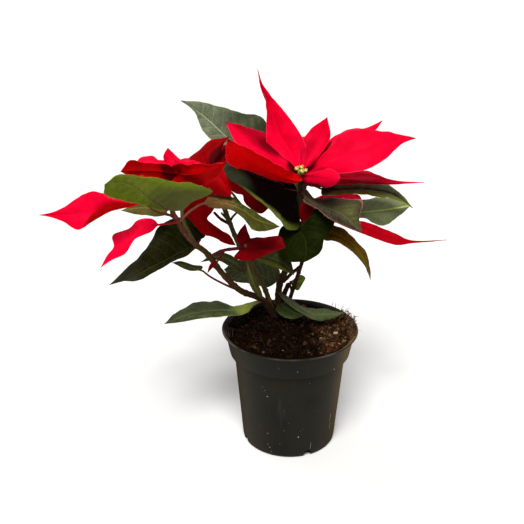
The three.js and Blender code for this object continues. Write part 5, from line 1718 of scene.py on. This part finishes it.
def add_cyathium(parts, centre, radius, tones, draw):
    """One green cup, its yellow gland and its few red-tipped stamens."""
    centre = np.array(centre, float)
    lean = unit(np.array([draw.gauss(0, 0.35), draw.gauss(-0.2, 0.3), 1.0]))
    points, faces = ball((0, 0, 0), 1, 4)
    x, y, z = np.array(points).T
    lobed = 1 + BEAD["lobe"] * np.cos(np.arctan2(y, x) * BEAD["lobes"]) * smoothstep(-0.2, 0.8, z)
    dimple = BEAD["dimple"] * smoothstep(0.75, 1.0, z)
    shaped = np.stack([x * lobed * BEAD["width"], y * lobed * BEAD["width"], z - dimple], -1)
    side = unit(np.cross(lean, [0.3, 1, 0.1]))
    axes = np.stack([side, np.cross(lean, side), lean])
    low, high, gland_tone = (np.array(tone) for tone in tones)
    # Painted shade at the cup's foot, painted light at its top.
    tint = lerp(low, high, smoothstep(-0.6, 0.8, z)[:, None])
    parts.add(centre + shaped @ axes * radius, faces, tint=tint)
    angle = draw.uniform(-2.4, -0.7)
    out = math.cos(angle) * axes[0] + math.sin(angle) * axes[1]
    gland = centre + out * radius * 0.75 + lean * radius * 0.35
    parts.add(*ball(gland, radius * BEAD["gland"], 3, 0.1, (1, 1, 0.75)), tint=gland_tone)
    for k in range(STAMEN["count"]):
        angle = k * 1.26 + draw.random()
        out = math.cos(angle) * axes[0] + math.sin(angle) * axes[1]
        foot = centre + lean * radius * 0.55 + out * radius * 0.15
        tip = centre + lean * radius * draw.uniform(0.95, 1.25) + out * radius * 0.4
        parts.add(*tube([foot, (foot + tip) / 2, tip], STAMEN["radii"], 6), tint=STAMEN["tone"])
        parts.add(*ball(tip, STAMEN["tip"], 1, 0.2), tint=gland_tone * 0.9)


def make_cyathia():
    """The beads at each bloom's centre, a little larger than the solids' ones."""
    material = tinted_material("cyathium", 500.0, 0.5, 0.18, 0.15, 0.3)
    for name, bloom in BLOOMS.items():
        draw = random.Random(name)
        # The right bloom's beads get the lit colours, the others the copy in painted shade.
        tones = LIT_BEADS if name == "bracts_right" else SHADED_BEADS
        parts = Parts()
        for centre, radius in bloom["cyathia"]:
            add_cyathium(parts, centre, radius * BEAD["scale"], tones, draw)
        node_name = name.replace("bracts", "cyathia")
        parts.build(node_name + "_beads", [node_name], material)


# ---------- Leaves and bracts ----------
HAIRS = {
    "per_mm": 0.9,
    "span": (0.06, 0.96),
    "length": (0.5, 1.4),
    "radii": [0.07, 0.05, 0.02],
    "tone": (0.24, 0.25, 0.15),
    "leaves": ["leaf_back_left", "leaf_right_upper", "leaf_right_rear", "leaf_grey_pink", "leaf_front_left",
        "leaf_bottom_left", "leaf_hanging_right", "leaf_olive_middle"],
}


def make_hairs():
    """The short pale hairs that stand along the leaves' margins."""
    draw = random.Random("hairs")
    parts = Parts()
    for name in HAIRS["leaves"]:
        rib = Curve(LEAVES[name]["rib"])
        shares = np.array([draw.uniform(*HAIRS["span"]) for _ in range(int(rib.length * HAIRS["per_mm"]))])
        middle, along, edges = blade_edges(LEAVES[name], rib, shares)
        for edge in edges:
            for k, root in enumerate(edge):
                out = unit(root - middle[k])
                lean = out + along[k] * draw.gauss(0.2, 0.4) + np.array([0, 0, draw.uniform(-0.2, 0.7)])
                tip = root + unit(lean) * draw.uniform(*HAIRS["length"])
                path = [root - out * 0.4, (root + tip) / 2 + out * 0.1, tip]
                tint = np.array(HAIRS["tone"]) * draw.uniform(0.5, 1.3)
                parts.add(*tube(path, HAIRS["radii"], 3), tint=tint)
    parts.build("leaf_hairs", [], tinted_material("leaf_hair", 900.0, 0.6, 0.2, 0.05, 0.2))


def make_blades():
    """Every leaf and single bract with its own stalk, and every bloom as one star of bracts."""
    for name, spec in {**LEAVES, **LONG_BRACTS}.items():
        parts = Parts()
        add_blade(parts, spec, name, spec["stalk"], **(SMOOTH if name in LONG_BRACTS else {}))
        parts.build(name + "_blade", [name], blade_material(name, LOOKS[name]))
    for name, bloom in BLOOMS.items():
        parts = Parts()
        for k, spec in enumerate(bloom["blades"]):
            rooted = {**spec, "rib": [bloom["centre"], *spec["rib"]]}
            add_blade(parts, rooted, f"{name}{k}", **(CRINKLED if name == "bracts_left" else SMOOTH))
        heart = ball(bloom["centre"], bloom["radius"], 3, 0.2)
        # The heart is marked with painted shade.
        parts.add(*heart, blade=(0, 0, 2), place=(0, 0, 0.5), marks=(0.8, 0, 0))
        parts.build(name + "_star", [name], blade_material(name, LOOKS[name]))


# ---------- Stage ----------
CAMERA = {"at": (-0.0246, -0.6248, 0.4234), "tilt": 67.92, "lens": 54.34, "sensor": 36}
# Each light: its name, where it stands, how wide it looks in degrees, its power and its colour.
LIGHTS = [
    ("key", (-0.10, -0.62, 1.0), 26.0, 4.8, (1.0, 0.985, 0.96)),
    ("rim", (-0.65, 0.55, 0.8), 40.0, 0.6, (0.97, 0.98, 1.0)),
]
SKY = 0.45
FLOOR = {"half": 30.0, "scale": 2.0, "tones": ((0.6, 0.6, 0.596), (0.63, 0.63, 0.626)), "roughness": 0.9}


def make_stage():
    """The pale floor, the white sky and the two lights."""
    mesh = bpy.data.meshes.new("floor")
    half = FLOOR["half"]
    corners = [(-half, -half, 0), (half, -half, 0), (half, half, 0), (-half, half, 0)]
    mesh.from_pydata(corners, [], [[0, 1, 2, 3]])
    floor = add_object("floor", mesh)
    material, tree = new_material("floor_paper")
    colour = mix(tree, pattern(tree, FLOOR["scale"], 2.0), *FLOOR["tones"])
    shader = node(tree, "BsdfPrincipled", {"Base Color": colour, "Roughness": FLOOR["roughness"]})
    finish_material(tree, shader.outputs[0])
    mesh.materials.append(material)

    world = bpy.data.worlds.new("studio")
    world.use_nodes = True
    sky = world.node_tree.nodes["Background"].inputs
    sky["Color"].default_value = (1, 1, 1, 1)
    sky["Strength"].default_value = SKY
    bpy.context.scene.world = world
    bpy.context.scene.view_settings.view_transform = "Standard"
    for name, toward, spread, power, colour in LIGHTS:
        lamp = bpy.data.lights.new(name, "SUN")
        lamp.angle, lamp.energy, lamp.color = math.radians(spread), power, colour
        light = add_object(name, lamp)
        light.location = toward
        light.rotation_euler = Vector(toward).to_track_quat("Z", "Y").to_euler()


def make_camera():
    """The photograph's camera, fitted to the pot's outline."""
    data = bpy.data.cameras.new("camera")
    data.lens, data.sensor_width = CAMERA["lens"], CAMERA["sensor"]
    camera = add_object("camera", data)
    camera.location = CAMERA["at"]
    camera.rotation_euler = (math.radians(CAMERA["tilt"]), 0, 0)
    bpy.context.scene.camera = camera


make_camera()
make_pot()
make_flecks()
make_soil()
make_stem()
make_blades()
make_cyathia()
make_hairs()
make_stage()
